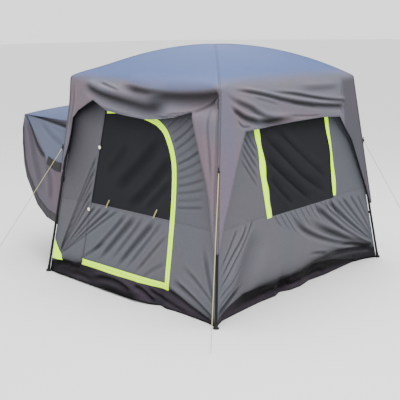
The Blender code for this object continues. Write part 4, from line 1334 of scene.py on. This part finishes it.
def make_door():
    cloth = wall_cloth("front")
    line = door_line()
    body = meet_hinge(offset_line(line, -DOOR_INSET), HINGE_GAP)
    seam_left = hinge_u(DOOR_SEAM_Z) + HINGE_GAP
    above = body[body[:, 1] > DOOR_SEAM_Z]
    below = body[body[:, 1] <= DOOR_SEAM_Z]
    seam_right = np.interp(-DOOR_SEAM_Z, [-above[-1][1], -below[0][1]], [above[-1][0], below[0][0]])
    net_loop = np.vstack([above, [(seam_right, DOOR_SEAM_Z - 0.01), (seam_left, DOOR_SEAM_Z - 0.01)]])
    sheet_piece("door_net", wall_cloth("front", NET_FOLDS), [resample(net_loop, FINE, closed=True)], FINE,
                NET, (1.05, 0.92), body="door", lift=-0.003, slot="mesh", replaces=["door_mesh"])
    panel_loop = np.vstack([[(seam_left, DOOR_SEAM_Z), (seam_right, DOOR_SEAM_Z)], below])
    sheet_piece("door_cloth", cloth, [resample(panel_loop, FINE, closed=True)], FINE, WALL, (1.2, 0.62),
                body="door", slot="wall", replaces=["door_panel"])
    band = np.array([p for p in resample(line, FINE) if p[0] > hinge_u(p[1]) + 0.012])
    ribbon("door_zip_tape_cloth", cloth, band, -DOOR_INSET, -BAND, BAND_LIFT, ZIP, crown=BAND_CROWN,
           body="door", slot="zip", replaces=["door_zip_tape"])
    ribbon("wall_zip_tape", cloth, band, 0.0, -HOLE_INSET, BAND_LIFT, ZIP, crown=BAND_CROWN, slot="zip")
    make_coil(cloth, band)
    hem = np.stack([[hinge_u(z), z] for z in np.linspace(HINGE_BOTTOM[1], HINGE_TOP[1], 110)])
    ribbon("door_hem_roll", cloth, hem, -0.0035, 0.0035, 0.002, WALL, crown=0.003, thickness=0.004,
           body="door", slot="wall", replaces=["door_hem"])
    ribbon("hinge_binding", cloth, hem, 0.012, -0.006, -0.0045, WALL, slot="wall")
    seam = level_line(seam_left + 0.002, seam_right - 0.002, DOOR_SEAM_Z - 0.004, 80)
    ribbon("door_seam", cloth, seam, 0.005, -0.005, 0.0014, SEAM, body="door", slot="wall")


def make_coil(cloth, path):
    """Small interlocking teeth along the middle of the band."""
    dense = resample(path, TOOTH_STEP)
    n = side_normals(dense)
    along = np.diff(dense, axis=0)
    along /= np.linalg.norm(along, axis=1, keepdims=True)
    flat = []
    for k in range(len(along)):
        side = 1 if k % 2 else -1
        centre = dense[k] - n[k] * ((HOLE_INSET + DOOR_INSET) / 2 - side * TOOTH_OFFSET)
        flat += [centre + n[k] * a * TOOTH_HALF[0] + along[k] * b * TOOTH_HALF[1]
                 for a, b in ((-1, -1), (1, -1), (1, 1), (-1, 1))]
    low, high = (cloth.place(*np.array(flat).T, lift)[0] for lift in TOOTH_LEVELS)
    verts, faces = [], []
    for k in range(0, len(flat), 4):
        start = len(verts)
        verts += list(low[k: k + 4]) + list(high[k: k + 4])
        for f in ((4, 5, 6, 7), (0, 1, 5, 4), (1, 2, 6, 5), (2, 3, 7, 6), (3, 0, 4, 7), (3, 2, 1, 0)):
            faces.append(tuple(start + i for i in f))
    add_mesh("door_zip_coil", np.array(verts), faces, COIL, body="door", slot="zip", smooth=False)


def make_door_trim():
    """Toggles on the hinge side, cord loops on the seam, and the bright tab at the wall's corner."""
    cloth = wall_cloth("front")
    parts = [ball_arrays(cloth.place([u], [z], TOGGLE_LIFT)[0][0], TOGGLE_SIZE) for u, z in TOGGLES]
    add_parts("door_toggles", parts, CREAM, slot="guy")
    parts = []
    for place in LOOPS:
        path = smooth_line(np.array(LOOP_LINE) + place, 5)
        lift = LOOP_LIFT[0] + LOOP_LIFT[1] * np.sin(np.linspace(0, math.pi, len(path)))
        points = [cloth.place([q[0]], [q[1]], h)[0][0] for q, h in zip(path, lift)]
        parts.append(tube_arrays(points, LOOP_RADIUS, 8))
    add_parts("door_loops", parts, LINE, body="door", slot="guy")
    loop = np.vstack([smooth_line(TAB_EDGE, 4), [TAB_CORNER]])
    verts, tris, _ = cloth_arrays(cloth, [resample(loop, TAB_STEP, closed=True)], TAB_STEP, TAB_LIFT)
    thicken(add_mesh("corner_tab", verts, tris, ZIP, slot="zip"))


# Sleeve

def sleeve_edge(t):
    x = mix(-wall_half(0, SLEEVE_EDGE_Z[0]), -SLEEVE_END_X, t)
    return x, -mix(*SLEEVE_EDGE_Y, t), mix(*SLEEVE_EDGE_Z, t)


def sleeve_side_cloth(sign):
    """One side of the sleeve. u runs from the leg to the car end, and v from the edge down to the hem."""
    hem = np.array(SLEEVE_HEM)
    share = np.linspace(0, 1, len(hem))

    def plain(u, v):
        edge_x, edge_y, edge_z = sleeve_edge(u)
        foot = [np.interp(u, share, hem[:, k]) for k in range(3)]
        x, y, z = mix(edge_x, foot[0], v), mix(edge_y, foot[1], v), mix(edge_z - 0.001, foot[2], v)
        x = np.where(u < 0.02, np.maximum(x, -wall_half(0, z) - 0.004), x)
        tuck = 0.012 * ease((v - 0.86) / 0.14) ** 2
        return np.stack([x, sign * (y + tuck), z], axis=-1)

    return Cloth(plain, SLEEVE_FOLDS, rough=0.006, turn=sign)


def sleeve_roof_cloth():
    """The sleeve's roof. u runs from the leg to the car end, and v across from edge to edge."""
    def plain(u, v):
        edge_x, edge_y, edge_z = sleeve_edge(u)
        crown = mix(*SLEEVE_CROWN, u)
        return np.stack([edge_x, edge_y * v, edge_z + crown * (1 - np.minimum(v * v, 1))], axis=-1)

    return Cloth(plain, rough=0.004, turn=-1.0)


def grid_loop(low_u, high_u, low_v, high_v, step):
    return resample([(low_u, low_v), (high_u, low_v), (high_u, high_v), (low_u, high_v)], step, closed=True)


def make_sleeve():
    roof = sleeve_roof_cloth()
    sheet_piece("sleeve_roof_cloth", roof, [grid_loop(0.0, 1.0, -1.004, 1.004, PLAIN)], PLAIN, SLEEVE_ROOF,
                (1.05, 1.95), slot="fly", replaces=["sleeve_roof"])
    for name, sign in (("sleeve_front", 1), ("sleeve_back", -1)):
        cloth = sleeve_side_cloth(sign)
        loop = grid_loop(0.0, 1.0, 0.0, 1.0, SLEEVE_STEP)
        sheet_piece(name + "_cloth", cloth, [loop], SLEEVE_STEP, SLEEVE, (1.15, 1.1), slot="fly",
                    replaces=[name])
        hem = level_line(0.005, 0.995, 0.995, 120)
        share = hem[:, 0]
        tall = np.linalg.norm(cloth.plain(share, np.ones(120)) - cloth.plain(share, np.zeros(120)), axis=1)
        deep = np.minimum(SLEEVE_BAND / tall, 0.5)
        # A darker band along the hem: painted shade where the hem curls under
        ribbon(name + "_hem", cloth, hem, -deep, 0.0, 0.004, HEM_SHADE_CLOTH, columns=19, fade=0.4, slot="fly")
        edge = level_line(0.0, 1.0, 0.006, 60)
        ribbon(name + "_piping", cloth, edge, -SLEEVE_PIPING, SLEEVE_PIPING, 0.004, SLEEVE_EAVE, slot="fly")
        eave = level_line(0.0, 0.97, 0.006, 60)
        to_car = 1 - eave[:, 0]
        below = SLEEVE_PIPING + SLEEVE_STRIPS[0] * to_car
        ribbon(name + "_eave", cloth, eave, 0.0, below, 0.002, SLEEVE_EAVE, columns=9, slot="fly")
        top_edge = level_line(0.0, 0.97, sign * 1.002, 60)
        above = -sign * SLEEVE_STRIPS[1] * to_car
        verts, faces, shade = ribbon_arrays(roof, top_edge, 0.0, above, 0.002, columns=9)
        if sign < 0:
            faces = [f[::-1] for f in faces]
        add_mesh(name + "_eave_top", verts, faces, SLEEVE_EAVE, shade=shade, slot="fly")
        ribbon(name + "_patch", cloth, resample(SLEEVE_PATCH, 0.02), -SLEEVE_PATCH_HALF, SLEEVE_PATCH_HALF,
               0.004, WEBBING, columns=7, fade=0.0, slot="fly")


# Ceiling

def make_ceiling():
    parts = []
    for side in SIDES:
        own = across(side)
        turn = mirrored(side)

        def plain(u, v, own=own, side=side, turn=turn):
            half = WALL_TOP[1 - own] * (1 - v)
            sag = CEILING_SAG * np.sin(math.pi * np.clip(v, 0, 1)) * (1 - u * u)
            z = mix(WALL_TOP_Z + 0.004, CEILING_Z, v) - sag
            return on_side(side, turn * u * half, WALL_TOP[own] * (1 - v), z)

        cloth = Cloth(plain, rough=0.0, turn=turn)
        loop = grid_loop(-1.0, 1.0, 0.0, 0.985, CEILING_STEP)
        parts.append(cloth_arrays(cloth, [loop], CEILING_STEP))
    verts, faces, _ = joined(parts)
    net_piece = thicken(add_mesh("ceiling_net", verts, faces, NET, slot="mesh",
                                 replaces=["ceiling_" + side for side in SIDES]), 0.0006)


# Guy lines

def make_guys():
    """Each line runs straight from a ring on the corner seam to the hook of its stake."""
    for corner, (sx, sy) in CORNERS.items():
        seam = Vector((sx * fly_half(0, RING_Z - EAVE_Z), sy * fly_half(1, RING_Z - EAVE_Z), RING_Z))
        out = Vector((sx, sy, 0)).normalized()
        ring = seam + out * RING_OUT
        foot = Vector((*STAKES[corner], 0.0))
        hook = foot + Vector((0, 0, STAKE_HEIGHT - HOOK_DROP))
        line = tube_arrays([ring.lerp(hook, k / 24) for k in range(25)], GUY_RADIUS, 10)
        add_parts("guy_line_" + corner, [line], LINE, slot="guy", replaces=["guy_" + corner])
        away = Vector((hook.x - ring.x, hook.y - ring.y, 0)).normalized()
        rod = [tuple(foot + Vector((0, 0, rise)) + away * reach) for rise, reach in STAKE_ROD]
        add_parts("stake_" + corner, [tube_arrays(smooth_line(rod, 5), STAKE_RADIUS)], STEEL, slot="guy")
        heights = np.linspace(-COLLAR_HALF, COLLAR_HALF, 8)
        collar = [seam + Vector((0, 0, h)) + out * COLLAR_OUT for h in heights]
        parts = [tube_arrays(collar, COLLAR_RADIUS, 10), ball_arrays(ring, RING_SIZE)]
        add_parts("guy_ring_" + corner, parts, PLASTIC, slot="plastic")


# Frame

def make_legs():
    """Two tubes, one in the other, with a collar where they meet, a sprung button, clips and a flat foot."""
    levels = []
    for (z0, r0), (z1, r1) in zip(LEG_PROFILE, LEG_PROFILE[1:]):
        count = max(1, math.ceil((z1 - z0) / 0.1))
        levels += [(mix(z0, z1, k / count), mix(r0, r1, k / count)) for k in range(count)]
    levels.append(LEG_PROFILE[-1])
    for corner, (sx, sy) in CORNERS.items():
        def axis(z, sx=sx, sy=sy):
            t = z / LEG_TOP_Z
            return Vector((sx * mix(FOOT[0], LEG_TOP[0], t), sy * mix(FOOT[1], LEG_TOP[1], t), z))

        inward = Vector((-sx, -sy, 0)).normalized()
        tube = tube_arrays([axis(z) for z, _ in levels], [r for _, r in levels], 24)
        add_parts("leg_tube_" + corner, [tube], TUBE, slot="tube", replaces=["leg_" + corner])
        button = ball_arrays(axis(BUTTON_Z) - inward * BUTTON_OUT, BUTTON_RADIUS)
        add_parts("leg_button_" + corner, [button], STEEL, slot="tube")
        clips = [ball_arrays(axis(z) + inward * CLIP_IN, CLIP_SIZE) for z in CLIP_Z]
        add_parts("leg_clips_" + corner, clips, PLASTIC, slot="plastic")


def dress_frame():
    """Gives the frame's own solids that still show their material."""
    for name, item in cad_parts.items():
        if not item.hide_render:
            item.data.materials.clear()
            item.data.materials.append(PLASTIC if name.startswith(("hub", "eave")) else TUBE)


# Camera, light and floor

def make_camera():
    data = bpy.data.cameras.new("camera")
    data.sensor_width = SENSOR
    data.lens = FOCAL_SHARE * SENSOR
    camera = bpy.data.objects.new("camera", data)
    azimuth, pitch, roll = CAMERA_TURN
    ahead = math.cos(pitch)
    forward = Vector((-math.sin(azimuth) * ahead, math.cos(azimuth) * ahead, math.sin(pitch)))
    right = Vector((math.cos(azimuth), math.sin(azimuth), 0.0))
    up = right.cross(forward)
    right, up = (right * math.cos(roll) + up * math.sin(roll), up * math.cos(roll) - right * math.sin(roll))
    turn = Matrix((right, up, -forward)).transposed()
    camera.matrix_world = Matrix.Translation(CAMERA_PLACE) @ turn.to_4x4()
    bpy.context.scene.collection.objects.link(camera)
    bpy.context.scene.camera = camera


def make_light():
    world = bpy.data.worlds.new("studio")
    world.use_nodes = True
    background = world.node_tree.nodes["Background"]
    background.inputs["Color"].default_value = (1.0, 1.0, 1.0, 1.0)
    background.inputs["Strength"].default_value = SKY_STRENGTH
    bpy.context.scene.world = world
    for name, place, size, power, colour in LIGHTS:
        data = bpy.data.lights.new(name, "AREA")
        data.size = size
        data.energy = power
        data.color = colour
        lamp = bpy.data.objects.new(name, data)
        lamp.location = place
        lamp.rotation_euler = (Vector((0, 0, 1.0)) - Vector(place)).to_track_quat("-Z", "Y").to_euler()
        bpy.context.scene.collection.objects.link(lamp)


def make_stage():
    verts = [(x * STAGE_HALF, y * STAGE_HALF, 0) for x, y in ((-1, -1), (1, -1), (1, 1), (-1, 1))]
    pale = new_material("pale_floor", (0.8, 0.8, 0.8), 1.0)
    stage = add_mesh("stage", verts, [(0, 1, 2, 3)], pale, body=None)


make_camera()
make_light()
make_stage()
make_fly()
make_walls()
make_wall_seams()
make_floor()
make_windows()
make_door()
make_door_trim()
make_sleeve()
make_ceiling()
make_guys()
make_legs()
dress_frame()
